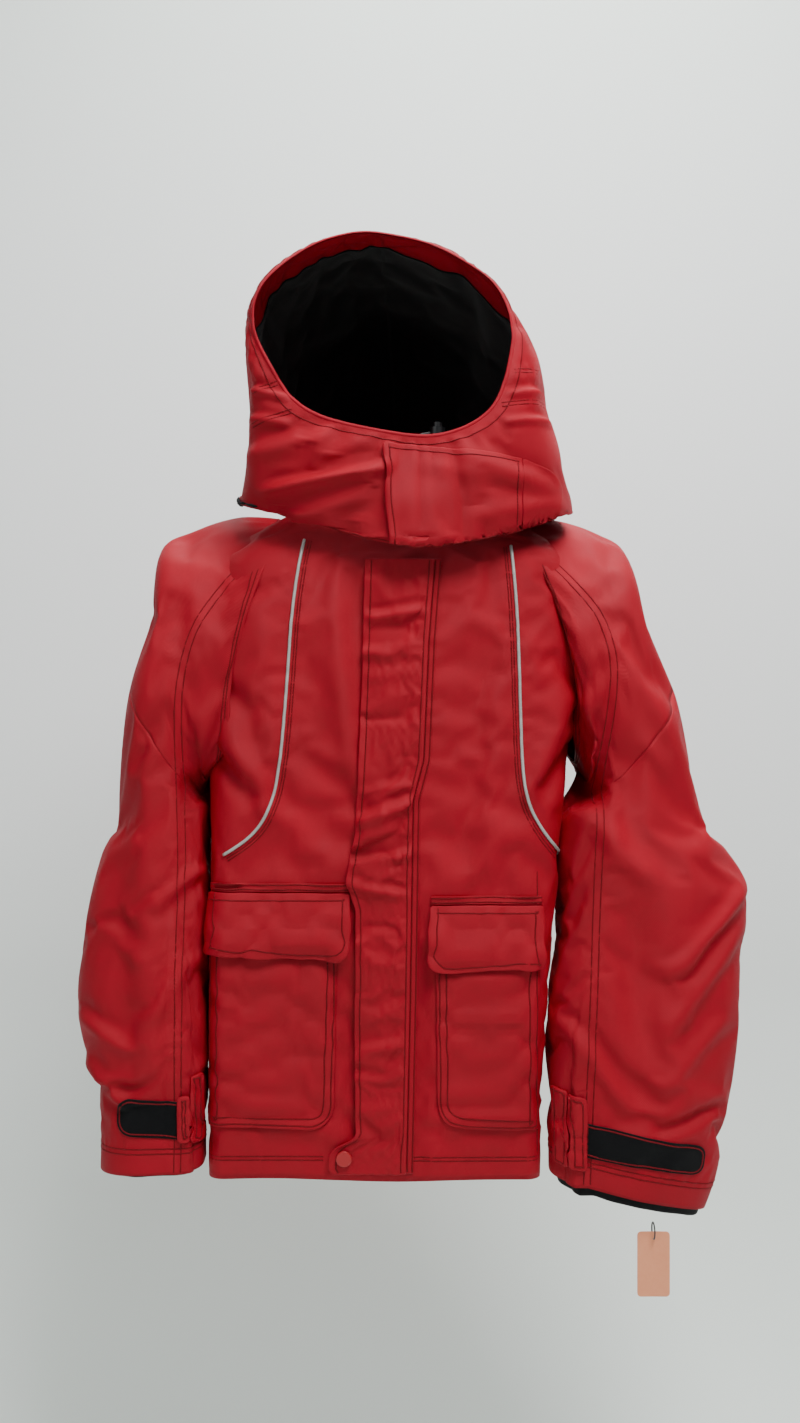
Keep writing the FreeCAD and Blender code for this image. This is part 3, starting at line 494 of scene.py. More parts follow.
def sweep(pile, places, ways, normals, profile, closed=True):
    """A strip with a cross-section of (across, up) points, in millimetres, along laid points."""
    sides = unit(np.cross(normals, ways))
    profile = np.asarray(profile, float) * MM
    rings = (places[:, None] + sides[:, None] * profile[None, :, :1] + normals[:, None] * profile[None, :, 1:])
    count, size = rings.shape[:2]
    run = np.concatenate([[0], np.cumsum(np.linalg.norm(np.diff(places, axis=0), axis=1))])
    girth = np.linspace(0, 0.01, size)
    uvs = np.stack(np.broadcast_arrays(run[:, None], girth[None]), axis=2)
    faces = []
    for i in range(count - 1):
        for j in range(size if closed else size - 1):
            k = (j + 1) % size
            faces.append((i * size + j, (i + 1) * size + j, (i + 1) * size + k, i * size + k))
    if closed:
        faces.append(tuple(range(size)))
        faces.append(tuple((count - 1) * size + j for j in reversed(range(size))))
    pile.add(rings, faces, uvs)


# The groove is a thin strip in the darker red: painted shade of the seam's groove.
GROOVE = [(-0.8, -0.3), (-0.6, 0.12), (0.6, 0.12), (0.8, -0.3)]
ROUND = [(1.5 * math.cos(a), 0.9 + 1.5 * math.sin(a)) for a in np.linspace(0, 2 * math.pi, 11)[:-1]]
GROOVE_LIFT, THREAD_LIFT = 0.0001, 0.0002


def thread(pile, places, ways, normals, pitch=3.0, size=0.42):
    """Lockstitches along laid points: one short rounded bar per stitch."""
    run = np.concatenate([[0], np.cumsum(np.linalg.norm(np.diff(places, axis=0), axis=1))])
    count = int(run[-1] / (pitch * MM))
    if count < 1:
        return
    centres = (np.arange(count) + 0.5) * pitch * MM
    def follow(table):
        return np.stack([np.interp(centres, run, table[:, axis]) for axis in range(3)], axis=1)
    at, way, up = follow(places), unit(follow(ways)), unit(follow(normals))
    side = unit(np.cross(up, way))
    long, wide = 0.36 * pitch * MM, size * MM
    rows = []
    for shift, swell in ((-1.0, 0.35), (-0.75, 1.0), (0.75, 1.0), (1.0, 0.35)):
        for angle in (0.3, 2.84, -1.57):
            rows.append(at + way * long * shift + (side * math.cos(angle) + up * math.sin(angle)) * wide * swell)
    verts = np.stack(rows, axis=1)
    faces = []
    for index in range(count):
        base = index * 12
        for ring in range(3):
            for corner in range(3):
                nxt = (corner + 1) % 3
                faces.append((base + ring * 3 + corner, base + ring * 3 + nxt,
                              base + ring * 3 + 3 + nxt, base + ring * 3 + 3 + corner))
        faces += [(base + 2, base + 1, base), (base + 9, base + 10, base + 11)]
    pile.add(verts, faces, np.zeros((count * 12, 2)) + np.repeat(centres, 12)[:, None])


class Sewing:
    """The seams and stitches of one body, gathered into two meshes."""

    def __init__(self, body):
        self.body, self.threads, self.grooves = body, Pile(), Pile()

    def row(self, cloth, points, soften=0.0, lift=0.0, rows=(0.0,)):
        line = trail(points, 0.004, soften)
        for offset in rows:
            places, ways, normals = lay(cloth, beside(line, offset * MM), lift * MM)
            sweep(self.grooves, places, ways, normals, GROOVE)
            thread(self.threads, places + normals * THREAD_LIFT, ways, normals)

    def on_grid(self, cloth, u, v):
        """A row at places of the cloth's own grid; u or v may be one number."""
        u, v = (np.array(line, float) for line in np.broadcast_arrays(u, v))
        self.along(cloth.at(u, v, GROOVE_LIFT), unit(cloth.sample(cloth.normals(), u, v)))

    def along(self, places, normals):
        ways = unit(np.gradient(places, axis=0))
        sweep(self.grooves, places, ways, normals, GROOVE)
        thread(self.threads, places + normals * THREAD_LIFT, ways, normals)

    def finish(self):
        made = []
        # Stitches and groove strips both take the darker red, painted seam shade.
        for name, gathered in (("stitches", self.threads), ("seam_groove_painted_shade", self.grooves)):
            if gathered.verts:
                obj = gathered.object(f"{name}_{self.body}", RED_SEAM_PAINTED_SHADE)
                made.append(obj)
        return made


def outline(points, radius, pitch=3.0):
    """A closed outline in millimetres with rounded corners: radius is one number, or one per point."""
    points = [np.array(point, float) for point in points]
    radii = radius if hasattr(radius, "__len__") else [radius] * len(points)
    out = []
    for index, corner in enumerate(points):
        before, after = points[index - 1], points[(index + 1) % len(points)]
        reach = min(radii[index], 0.45 * np.linalg.norm(before - corner), 0.45 * np.linalg.norm(after - corner))
        first = corner + (before - corner) / np.linalg.norm(before - corner) * reach
        last = corner + (after - corner) / np.linalg.norm(after - corner) * reach
        for share in np.linspace(0, 1, 7):
            out.append((1 - share) ** 2 * first + 2 * share * (1 - share) * corner + share ** 2 * last)
    out.append(out[0])
    out = np.array(out)
    run = np.concatenate([[0], np.cumsum(np.linalg.norm(np.diff(out, axis=0), axis=1))])
    places = np.linspace(0, run[-1], int(run[-1] / pitch) + 1)[:-1]
    return np.stack([np.interp(places, run, out[:, axis]) for axis in (0, 1)], axis=1)


def patch(cloth, edge, lift, thickness, name, material, rings=14, crown=0.0, shape=None):
    """A flat piece laid over the cloth: edge is its outline in millimetres, lift its height off the cloth."""
    edge = np.asarray(edge) * MM
    centre = edge.mean(axis=0)
    shares = np.concatenate([np.linspace(0, 0.94, rings - 3), [0.97, 0.99, 1.0]])[1:]
    flat = centre + (edge - centre)[None] * shares[:, None, None]
    flat = np.concatenate([np.repeat(centre[None, None], len(edge), 1), flat])
    x, z = flat[..., 0], flat[..., 1]
    places = cloth.on(x, z, 0.0)
    normals = cloth.facing(x, z)
    shares = np.concatenate([[0.0], shares])[:, None]
    height = lift * MM + crown * MM * (1 - shares ** 4) + 0 * x
    if shape is not None:
        height = height + shape(x, z) * MM
    roll = thickness * MM * np.array([0.0] * (rings - 2) + [0.08, 0.3, 0.85])[:len(shares), None]
    if len(roll) < len(shares):
        roll = np.concatenate([np.zeros((len(shares) - len(roll), 1)), roll])
    top = places + normals * (height + thickness * MM - roll)[..., None]
    bottom = places + normals * height[..., None]
    count, size = x.shape
    verts = np.concatenate([top.reshape(-1, 3), bottom.reshape(-1, 3)])
    uvs = np.concatenate([flat.reshape(-1, 2)] * 2)
    faces = []
    half = count * size
    for i in range(count - 1):
        for j in range(size):
            k = (j + 1) % size
            if i == 0:
                faces.append((i * size, (i + 1) * size + j, (i + 1) * size + k))
                faces.append((half, half + (i + 1) * size + k, half + (i + 1) * size + j))
            else:
                quad = (i * size + j, (i + 1) * size + j, (i + 1) * size + k, i * size + k)
                faces.append(quad)
                faces.append(tuple(half + index for index in quad[::-1]))
    last = (count - 1) * size
    for j in range(size):
        k = (j + 1) % size
        faces.append((last + j, half + last + j, half + last + k, last + k))
    obj = make_object(name, verts, faces, uvs, material)
    mesh_clean(obj)
    return obj


def mesh_clean(obj):
    """Joins points that coincide, drops loose ones and makes all faces look outwards."""
    import bmesh
    work = bmesh.new()
    work.from_mesh(obj.data)
    bmesh.ops.remove_doubles(work, verts=work.verts, dist=1e-6)
    loose = [vert for vert in work.verts if not vert.link_faces]
    bmesh.ops.delete(work, geom=loose, context="VERTS")
    bmesh.ops.recalc_face_normals(work, faces=work.faces)
    work.to_mesh(obj.data)
    work.free()


print("sewing tools ready")

# %% [markdown]
# ## The hood's drawcord
# The cord is elastic, 2.8 mm thick, and shows only as a short loop behind the toggle. It leaves the hood's lining at
# one eyelet and goes back in at the other, so its few points make one smooth curve.

# %% Drawcord
route = [(0.019, -0.1254, -0.009), (0.019, -0.104, 0.003), (0.061, -0.104, 0.003), (0.061, -0.1224, -0.009)]
line = bpy.data.curves.new("hood_drawcord_line", "CURVE")
line.dimensions = "3D"
line.bevel_depth, line.bevel_resolution, line.resolution_u = 0.0014, 4, 16
spline = line.splines.new("NURBS")
spline.points.add(len(route) - 1)
for point, place in zip(spline.points, route):
    point.co = (*place, 1)
spline.order_u, spline.use_endpoint_u = 3, True
line.materials.append(CORD)
drawcord = bpy.data.objects.new("hood_cord", line)
bpy.context.scene.collection.objects.link(drawcord)
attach(drawcord, "hood")
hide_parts("hood_drawcord")
print("cord points:", len(route))

# %% [markdown]
# ## The body of the jacket
# The body is one tube from the hem to the neck. Its rings are rounded rectangles, wide and flat at the hem, deepest
# at the chest, and closing to the neck over the shoulders.

# %% Rings
def ring(x_low, x_high, y_front, y_back, front, back, count):
    """A closed ring of (x, y) from the back's middle round by -X, with its corners rounded."""
    middle = (x_low + x_high) / 2
    points = [(middle, y_back)]
    for cx, cy, radius, start in ((x_low, y_back, back, 90), (x_low, y_front, front, 180),
                                  (x_high, y_front, front, 270), (x_high, y_back, back, 0)):
        ox = cx + radius if cx == x_low else cx - radius
        oy = cy - radius if cy == y_back else cy + radius
        for angle in np.radians(np.linspace(start, start + 90, 13)):
            points.append((ox + radius * math.cos(angle), oy + radius * math.sin(angle)))
    points.append((middle, y_back))
    points = np.array(points)
    run = np.concatenate([[0], np.cumsum(np.linalg.norm(np.diff(points, axis=0), axis=1))])
    places = np.linspace(0, run[-1], count + 1)[:-1]
    return np.stack([np.interp(places, run, points[:, axis]) for axis in (0, 1)], axis=1)


def resample(table, nu, nv, closed):
    """The table of a coarse grid on a finer one, by smooth interpolation."""
    def along(values, count, wrap):
        size = len(values)
        places = np.arange(count) * (size / count if wrap else (size - 1) / (count - 1))
        base = np.floor(places).astype(int)
        if not wrap:
            base = np.minimum(base, size - 2)
        t = (places - base).reshape(-1, *([1] * (values.ndim - 1)))
        def pick(shift):
            index = base + shift
            return values[index % size] if wrap else values[np.clip(index, 0, size - 1)]
        a, b, c, d = pick(-1), pick(0), pick(1), pick(2)
        return b + 0.5 * t * (c - a + t * (2 * a - 5 * b + 4 * c - d + t * (3 * (b - c) + d - a)))
    table = along(table, nu, closed)
    return np.swapaxes(along(np.swapaxes(table, 0, 1), nv, False), 0, 1)


def buckle(cloth, hold, coarse, **settings):
    """settle() run on a coarser copy of the grid, and its movement brought back smoothly."""
    nu, nv = cloth.p.shape[:2]
    cu, cv = coarse
    across = np.arange(cu) / cu if cloth.closed else np.linspace(0, 1, cu)
    u, v = np.meshgrid(across, np.linspace(0, 1, cv), indexing="ij")
    small = Cloth(cloth.at(u, v), cloth.closed, cloth.flip)
    done = settle(small, hold(u, v, small.p), **settings)
    return Cloth(cloth.p + resample(done.p - small.p, nu, nv, cloth.closed), cloth.closed, cloth.flip)


def near_line(p, points, width):
    """1 on a line of (x, z) points in millimetres, falling to 0 over width, for the cloth's front."""
    line = trail(points, 0.006)
    gap = np.full(p.shape[:-1], 1e9)
    for x, z in line:
        gap = np.minimum(gap, (p[..., 0] - x) ** 2 + (p[..., 2] - z) ** 2)
    return np.exp(-gap / (width * MM) ** 2)


BODY = [(-716, -183, 141, -111, 103, 16, 60), (-634, -183, 141, -111, 103, 16, 60),
        (-550, -183, 147, -111, 103, 18, 62), (-465, -183, 153, -112, 103, 22, 64),
        (-380, -183, 160, -112, 103, 32, 66), (-312, -186, 170, -112, 103, 44, 68),
        (-260, -190, 184, -112, 103, 58, 70), (-200, -190, 188, -112, 102, 62, 70),
        (-150, -187, 186, -111, 100, 66, 70), (-116, -178, 178, -108, 98, 62, 66),
        (-93, -158, 158, -93, 97, 54, 60), (-77, -130, 130, -78, 96, 44, 52), (-66, -104, 104, -72, 94, 36, 48)]
rows = spread(BODY, 150, 0.28)
body = np.stack([np.column_stack([ring(*row[1:5], row[5], row[6], 280), np.full(280, row[0])]) for row in rows], 1)
torso = Cloth(body * MM, closed=True)
print("body", torso.p.shape, "facing out:", bool(torso.normals()[140, 60, 1] < 0))

# %% [markdown]
# ## Folds of the body
# A hanging jacket is pulled by its own weight from the shoulders, so it has long shallow folds from the armholes and
# gentle hollows beside the front closure. The large ones are listed, and the buckles between the seams are
# left to the simulation, which holds the cloth at every seam.

# %% Body folds
PIPE_RIGHT = [(-89, -100), (-96, -140), (-101, -180), (-106, -252), (-111, -312), (-117, -345), (-126, -370),
              (-141, -388), (-166, -404)]
PIPE_LEFT = [(111, -106), (114, -140), (117, -180), (119, -252), (121, -314), (124, -342), (130, -362),
             (143, -384), (160, -404)]
BASE_LINE = [(39, -120), (33, -197), (28, -312), (18, -351), (15, -543), (11.5, -711)]
FLAP_TOP_RIGHT = [(-181, -438), (-40, -438)]
FLAP_TOP_LEFT = [(31, -450), (146, -450)]

torso.p += torso.normals() * (ripple(torso.p * [1, 1, 0.45], 0.2, 3) * 0.0018)[..., None]
for line_ends, width, depth in (((-176, -250, -120, -372), 13, 5), ((-186, -300, -136, -352), 10, -5),
                                ((-92, -205, -60, -395), 20, -3), ((-128, -170, -120, -330), 14, 3),
                                ((168, -245, 128, -352), 13, 5), ((176, -300, 140, -350), 10, -5),
                                ((80, -200, 62, -410), 22, -3), ((100, -250, 88, -420), 12, 2.5),
                                ((-60, -150, -42, -330), 13, 3), ((-75, -520, -52, -690), 16, 2.5),
                                ((25, -470, 22, -690), 10, -3)):
    torso = fold(torso, *line_ends, width, depth)


def body_hold(u, v, p):
    held = np.zeros(u.shape)
    for seam in (PIPE_RIGHT, PIPE_LEFT, BASE_LINE, FLAP_TOP_RIGHT, FLAP_TOP_LEFT,
                 [(-183, -694), (139, -694)], [(-183, -712), (139, -712)]):
        held = np.maximum(held, near_line(p, seam, 9))
    held = np.maximum(held, np.clip((v - 0.93) / 0.04, 0, 1))
    held = np.maximum(held, np.clip((0.02 - v) / 0.01, 0, 1))
    pockets = (p[..., 2] < -0.44) & (p[..., 1] < -0.05)
    return np.clip(np.maximum(held, 0.22 + 0.2 * pockets), 0, 1)


torso = buckle(torso, body_hold, (150, 84), frames=16, grow=0.014, cap=0.005, weight=0.3)
hem = np.clip((-0.690 - torso.p[..., 2]) / 0.026, 0, 1)
torso.p[..., 2] += hem * 0.0024 * ripple(torso.p * [1, 0.6, 0], 0.11, 9)
print("body folded")

# %% [markdown]
# ## Body shell, lining and piping
# The shell is thin, so it is a surface with a little thickness inwards. The lining is the same grid moved inwards.

# %% Body objects
def inner(cloth, depth, first=0, last=None):
    """The grid moved inwards by depth, facing inwards, between two rows."""
    moved = cloth.p - cloth.normals() * depth
    return Cloth(moved[:, first:last], cloth.closed, not cloth.flip)


def place(obj, body, slot, *nodes):
    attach(obj, body)
    if nodes:
        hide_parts(*nodes)
    return obj


shell = place(cloth_object("body_shell", torso, RED, SHELL, 0), "jacket", "red_shell", "front_panel_right",
              "front_panel_left", "chest_panel_right", "chest_panel_left", "shoulder_panel_right",
              "shoulder_panel_left", "back_panel", "back_yoke")
body_lining = place(cloth_object("body_lining_cloth", inner(torso, LINING_DEPTH, 3), FLEECE, LINING, 0), "jacket",
                    "black_lining", "body_lining")
place(cloth_object("hem_facing_band", inner(torso, 0.0028, 0, 7), RED, 0.0008, 0), "jacket", "red_shell",
      "hem_facing")

pipes = Pile()
for points in (PIPE_RIGHT, PIPE_LEFT):
    places, ways, normals = lay(torso, trail(points, 0.003, 0.35))
    sweep(pipes, places, ways, normals, ROUND)
place(pipes.object("piping_cords", PIPING), "jacket", "reflective_piping", "piping")

body_sewing = Sewing("jacket")
for points, sign in ((PIPE_RIGHT, 1), (PIPE_LEFT, -1)):
    body_sewing.row(torso, points, 0.35, rows=(4.5 * sign, 7.0 * sign) if sign > 0 else (-4.5, -7.0))
for z in (-694, -697.5):
    body_sewing.row(torso, [(-181, z), (-70, z)])
    body_sewing.row(torso, [(16, z), (137, z)])
for x in (-178, 136):
    body_sewing.row(torso, [(x * 0.999, -420), (x, -690)])
yoke_v = float(np.interp(-190, rows[:, 0], np.linspace(0, 1, 150)))
across_back = np.linspace(-0.21, 0.21, 260)
up_side = np.linspace(0.03, float(np.interp(-300, rows[:, 0], np.linspace(0, 1, 150))), 220)
for shift in (-0.004, 0.004):
    body_sewing.on_grid(torso, across_back, yoke_v + shift)
for side_u in (0.232, 0.768):
    for shift in (-0.002, 0.002):
        body_sewing.on_grid(torso, side_u + shift, up_side)
hem_turn = np.linspace(0.74, 1.26, 320)
for level_v in (0.032, 0.037):
    body_sewing.on_grid(torso, hem_turn, level_v)
print("body pieces:", shell.name, body_lining.name)

# %% [markdown]
# ## Stand collar
# Inside the hood is a short collar that keeps the zip away from the chin. It is a plain open band round the neck.

# %% Collar and hang loop
turn = np.linspace(0, 1, 160, endpoint=False)
levels = np.linspace(0, 1, 12)
base_ring = ring(-104, 104, -72, 94, 36, 48, 160)
top_ring = ring(-97, 97, -64, 88, 40, 48, 160)
collar_points = np.stack([np.column_stack([base_ring * (1 - t) + top_ring * t, np.full(160, -66 + 48 * t)])
                          for t in levels], 1) * MM
collar_points[..., 2] += ripple(collar_points, 0.07, 5) * 0.001 * levels[None]
collar = Cloth(collar_points, closed=True)
place(cloth_object("collar_band", collar, RED, 0.003, 1), "jacket", "red_shell", "stand_collar")
loop_run = np.linspace(0, 1, 31)
loop_points = np.stack([np.stack([-0.032 + 0.064 * loop_run, 0.0905 - 0.0075 * np.sin(loop_run * math.pi) ** 0.6
                                  + 0 * loop_run, np.full(31, z)], 1) for z in np.linspace(-0.052, -0.044, 5)], 1)
place(cloth_object("hanging_loop", Cloth(loop_points), FLEECE, 0.0012, 1), "jacket",
                    "hanging_tape", "hang_loop")
print("collar and loop made")

# %% [markdown]
# ## Patch pockets
# Each pocket is a bag stitched down on three sides, so it is a little full in the middle and thin at its edge. It is
# laid on the body from its outline, with two rows of stitches just inside the edge.

# %% Pockets
def full(x0, x1, z0, z1, amount, seed):
    """A soft fullness inside a rectangle of millimetres, with shallow wrinkles."""
    def shape(x, z):
        s = np.clip((x / MM - x0) / (x1 - x0), 0, 1)
        t = np.clip((z / MM - z0) / (z1 - z0), 0, 1)
        cup = np.sin(s * math.pi) ** 0.6 * np.sin(np.clip(t * 0.8 + 0.1, 0, 1) * math.pi) ** 0.6
        waves = ripple(np.stack([x, 0 * x, z * 0.6], -1), 0.07, seed)
        return amount * cup * (1 + 0.16 * waves)
    return shape


def edge_rows(sewing, cloth, edge, offsets, lift):
    """Rows of stitches inside a closed outline of millimetres."""
    loop = np.concatenate([edge, edge[:1]]) * MM
    area = 0.5 * np.sum(loop[:-1, 0] * loop[1:, 1] - loop[1:, 0] * loop[:-1, 1])
    for offset in offsets:
        moved = beside(loop, offset * MM * (1 if area > 0 else -1))
        run = np.concatenate([[0], np.cumsum(np.linalg.norm(np.diff(moved, axis=0), axis=1))])
        even = np.linspace(0, run[-1], int(run[-1] / 0.004))
        moved = np.stack([np.interp(even, run, moved[:, axis]) for axis in (0, 1)], 1)
        places, ways, normals = lay(cloth, moved, 0.0)
        height = lift(moved[:, 0], moved[:, 1]) if callable(lift) else np.full(len(moved), lift)
        sewing.along(places + normals * height[:, None] * MM, normals)


POCKETS = {"right": ([(-180, -470), (-56, -470), (-60, -668), (-181, -665)], [2, 2, 26, 4], (-180, -58)),
           "left": ([(38, -470), (138, -470), (137, -668), (40, -664)], [2, 2, 4, 24], (37, 137))}
for side, (corners, radii, (x0, x1)) in POCKETS.items():
    edge = outline(corners, radii)
    bulge = full(x0, x1, -668, -470, 5.0, 11 if side == "right" else 12)
    bag = patch(torso, edge, 0.3, 1.3, f"pocket_bag_{side}", RED, rings=26, shape=bulge)
    place(bag, "jacket", "red_shell", f"pocket_{side}")
    edge_rows(body_sewing, torso, edge, (3, 9.4), lambda x, z, b=bulge: 1.75 + b(x, z))
print("pockets:", list(POCKETS))

# %% [markdown]
# ## Pocket flaps
# A flap is sewn along its top and hangs over the pocket's mouth, so its lower edge stands a little proud. Its lower
# inner corner is rounded. Under it is a strip of hook tape.

# %% Pocket flaps
FLAPS = {"right": ([(-179, -440), (-44, -440), (-44, -506), (-100, -502), (-178, -500)], [1, 2, 18, 60, 2]),
         "left": ([(33, -452), (140, -452), (140, -512), (90, -515), (32, -519)], [2, 1, 2, 60, 18])}
loops = Pile()
for side, (corners, radii) in FLAPS.items():
    edge = outline(corners, radii)
    top = corners[0][1]

    def hang(x, z, top=top, seed=14 if side == "right" else 15):
        drop = np.clip((top * MM - z) / 0.066, 0, 1)
        wave = ripple(np.stack([x * 1.3, 0 * x, z * 0.3], -1), 0.075, seed)
        return 2.2 + 7.2 * np.sin(drop * math.pi / 2) + 1.3 * drop * wave - 1.2 * drop ** 6
    flap = patch(torso, edge, 0.0, 1.5, f"flap_{side}", RED, rings=22, shape=hang)
    place(flap, f"pocket_flap_{side}", "red_shell", f"pocket_flap_{side}")
    sewing = Sewing(f"pocket_flap_{side}")
    edge_rows(sewing, torso, edge, (7.0,), lambda x, z, h=hang: h(x, z) + 1.6)
    for piece in sewing.finish():
        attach(piece, f"pocket_flap_{side}")
    width, height = np.ptp(edge[:, 0]) * MM, np.ptp(edge[:, 1]) * MM
    flat = 0.5 * abs(np.sum(edge[:, 0] * np.roll(edge[:, 1], -1) - edge[:, 1] * np.roll(edge[:, 0], -1))) * MM ** 2
    hooks = [corners[0][0] + 12, corners[1][0] - 12]
    strip = outline([(hooks[0], top - 54), (hooks[1], top - 54), (hooks[1], top - 34), (hooks[0], top - 34)], 3)
    tape = patch(torso, strip, 0.0, 0.9, f"hook_tape_{side}", LOOPS, rings=8, shape=lambda x, z, h=hang: h(x, z) - 1.0)
    place(tape, f"pocket_flap_{side}", "hook_tape", f"flap_hooks_{side}")
    loop_edge = outline([(hooks[0], top - 52), (hooks[1], top - 52), (hooks[1], top - 36), (hooks[0], top - 36)], 3)
    bulge = full(*POCKETS[side][2], -668, -470, 5.0, 11 if side == "right" else 12)
    loop_tape = patch(torso, loop_edge, 1.7, 0.9, f"loop_tape_{side}", LOOPS, rings=8, shape=bulge)
    place(loop_tape, "jacket", "loop_tape", "pocket_loops")
    seam = patch(torso, outline([(corners[0][0], top + 1), (corners[1][0], top + 1), (corners[1][0], top + 9),
                                 (corners[0][0], top + 9)], 1.5), 0.2, 2.0, f"flap_seam_{side}", RED, rings=6)
    place(seam, "jacket", "red_shell", "flap_seams")
    for rise in (3.0, 7.5):
        body_sewing.row(torso, [(corners[0][0] + 1, top + rise), (corners[1][0] - 1, top + rise)], lift=2.3)
print("flaps:", list(FLAPS))

# %% [markdown]
# ## Storm flap
# The long flap over the zip is two layers, stitched down along one edge and closed by hook tape and a snap at the
# hem. It buckles across between its fastenings, because the zip beneath takes up less length than the cloth.

# %% Storm flap
FREE_EDGE = [(-30, -119), (-30, -150), (-33, -255), (-35, -300), (-36, -332), (-40, -380), (-43, -400), (-48, -430),
             (-43, -443), (-39, -456), (-39, -560), (-39, -668), (-42, -680), (-56, -685), (-65, -690), (-66, -700),
             (-62, -709)]
edge_line = np.array(FREE_EDGE, float)
heights = np.linspace(-119, -709.5, 200)
free = np.interp(-heights, -edge_line[:, 1], edge_line[:, 0])
base = np.interp(-heights, [120, 197, 312, 351, 543, 711], [37, 31, 26, 16, 13, 9.5])
lobe = heights < -668
free[lobe] = np.interp(-heights[lobe], [668, 676, 684, 690, 704, 709.6], [-39, -44, -58, -64, -65, -60])
across = np.linspace(0, 1, 34)
flap_x = free[None] * (1 - across[:, None]) + base[None] * across[:, None]
flap_z = np.broadcast_to(heights[None], flap_x.shape)
rest_y = torso.on(flap_x * MM, flap_z * MM)[..., 1]
flap_y = np.minimum(rest_y - 0.0052, -0.1163)
kernel = np.hanning(25) / np.hanning(25).sum()
flap_y = np.apply_along_axis(lambda r: np.convolve(np.pad(r, 12, "edge"), kernel, "valid"), 1, flap_y)
storm = Cloth(np.stack([flap_x * MM, flap_y, flap_z * MM], -1), flip=False)
storm.flip = bool(storm.normals()[16, 100, 1] > 0)


def storm_hold(u, v, p):
    held = np.maximum(np.clip((u - 0.86) / 0.06, 0, 1), 0.14)
    for z in (-0.122, -0.232, -0.290, -0.455, -0.520, -0.640, -0.700):
        held = np.maximum(held, np.exp(-((p[..., 2] - z) / 0.012) ** 2))
    return held


storm = buckle(storm, storm_hold, (18, 150), frames=20, grow=0.035, cap=0.007, weight=0.1, bending=4.0)
for ends, width, depth in (((-26, -176, 26, -168), 5, 5), ((-28, -186, 22, -190), 6, -2.5),
                           ((-36, -372, 18, -352), 6, 6), ((-34, -344, 14, -336), 5, 3),
                           ((-44, -414, 16, -402), 6, 6), ((-44, -432, 10, -442), 5, 4),
                           ((-30, -395, 14, -388), 5, -3), ((-34, -592, 6, -584), 6, 3),
                           ((-34, -604, 8, -612), 6, 2), ((-28, -234, 20, -226), 7, 2),
                           ((-34, -500, 6, -512), 8, 2), ((-34, -650, 4, -644), 7, 2)):
    storm = fold(storm, *ends, width, depth)
storm.p[..., 1] = np.minimum(storm.p[..., 1], torso.on(storm.p[..., 0], storm.p[..., 2])[..., 1] - 0.0026)
front_flap = place(cloth_object("storm_flap_cloth", storm, RED, 0.0018, 1), "storm_flap", "red_shell", "storm_flap")
flap_sewing = Sewing("storm_flap")
down_flap = np.linspace(0.004, 0.996, 150)
for place_u in (0.10, 0.93):
    flap_sewing.on_grid(storm, place_u, down_flap)
for piece in flap_sewing.finish():
    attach(piece, "storm_flap")
strip_x = np.stack([base - 1 + 8 * t for t in np.linspace(0, 1, 8)], 0)
strip_z = np.broadcast_to(heights[None], strip_x.shape)
strip_y = torso.on(strip_x * MM, strip_z * MM)[..., 1] - 0.0019
strip_y = np.minimum(strip_y, -0.1135)
base_strip = Cloth(np.stack([strip_x * MM, strip_y, strip_z * MM], -1), flip=storm.flip)
place(cloth_object("storm_flap_seam", base_strip, RED, 0.0015, 1), "jacket", "red_shell",
                    "storm_flap_base")
for place_u in (0.25, 0.85):
    body_sewing.on_grid(base_strip, place_u, down_flap)
print("storm flap", storm.p.shape)

# %% [markdown]
# ## Hood
# The hood is a ring of cloth between two edges: the face opening and the neck. Six closed curves of twelve points
# each, from the face to the neck, give its form, and smooth curves through them give the grid.

# %% Hood
def through(rings, count_u, count_v):
    """A closed grid through rings of points, smooth both ways."""
    rings = np.asarray(rings, float)
    table = np.swapaxes(rings, 0, 1)
    fine = resample(table, count_u, 24 * len(rings), True)
    step = np.linalg.norm(np.diff(fine, axis=1), axis=2).mean(axis=0)
    run = np.concatenate([[0], np.cumsum(step)])
    even = np.linspace(0, run[-1], count_v)
    return np.stack([[np.interp(even, run, fine[i, :, axis]) for axis in range(3)]
                     for i in range(count_u)]).transpose(0, 2, 1)


HOOD = [
    [(-14, -106, 196), (-62, -108, 190), (-110, -114, 163), (-137, -122, 120), (-122, -129, 66), (-86, -133, 20),
     (-20, -135, 0), (40, -135, -5), (88, -133, 18), (107, -128, 62), (108, -120, 117), (60, -110, 171)],
    [(-14, -82, 200), (-70, -84, 193), (-118, -92, 165), (-143, -100, 118), (-138, -122, 60), (-112, -131, 4),
     (-20, -138, -20), (48, -138, -26), (110, -134, -2), (133, -120, 52), (119, -96, 115), (66, -84, 176)],
    [(-14, -10, 201), (-72, -8, 190), (-120, -12, 152), (-143, -30, 92), (-142, -72, 22), (-132, -120, -36),
     (-20, -139, -50), (50, -139, -56), (146, -118, -34), (153, -62, 20), (139, -22, 82), (74, -10, 162)],
    [(-10, 82, 170), (-72, 80, 146), (-116, 72, 100), (-138, 34, 36), (-145, -24, -16), (-140, -104, -58),
     (-20, -138, -80), (52, -138, -84), (158, -104, -60), (162, -18, -10), (142, 36, 38), (76, 82, 124)],
    [(-4, 115, 70), (-76, 108, 60), (-120, 84, 30), (-142, 34, -14), (-149, -28, -42), (-140, -100, -68),
     (-20, -137, -94), (52, -137, -98), (161, -100, -74), (167, -24, -48), (142, 40, -10), (80, 112, 60)],
    [(0, 101, -24), (-75, 98, -25), (-118, 74, -30), (-143, 30, -38), (-152, -32, -45), (-139, -98, -62),
     (-20, -135, -105), (52, -135, -108), (160, -98, -76), (169, -26, -60), (142, 40, -40), (80, 98, -27)]]
hood = Cloth(through(HOOD, 260, 110) * MM, closed=True)
if hood.normals()[130, 60, 1] > 0:
    hood.flip = True
hood.p += hood.normals() * (ripple(hood.p, 0.09, 8) * 0.0022)[..., None]


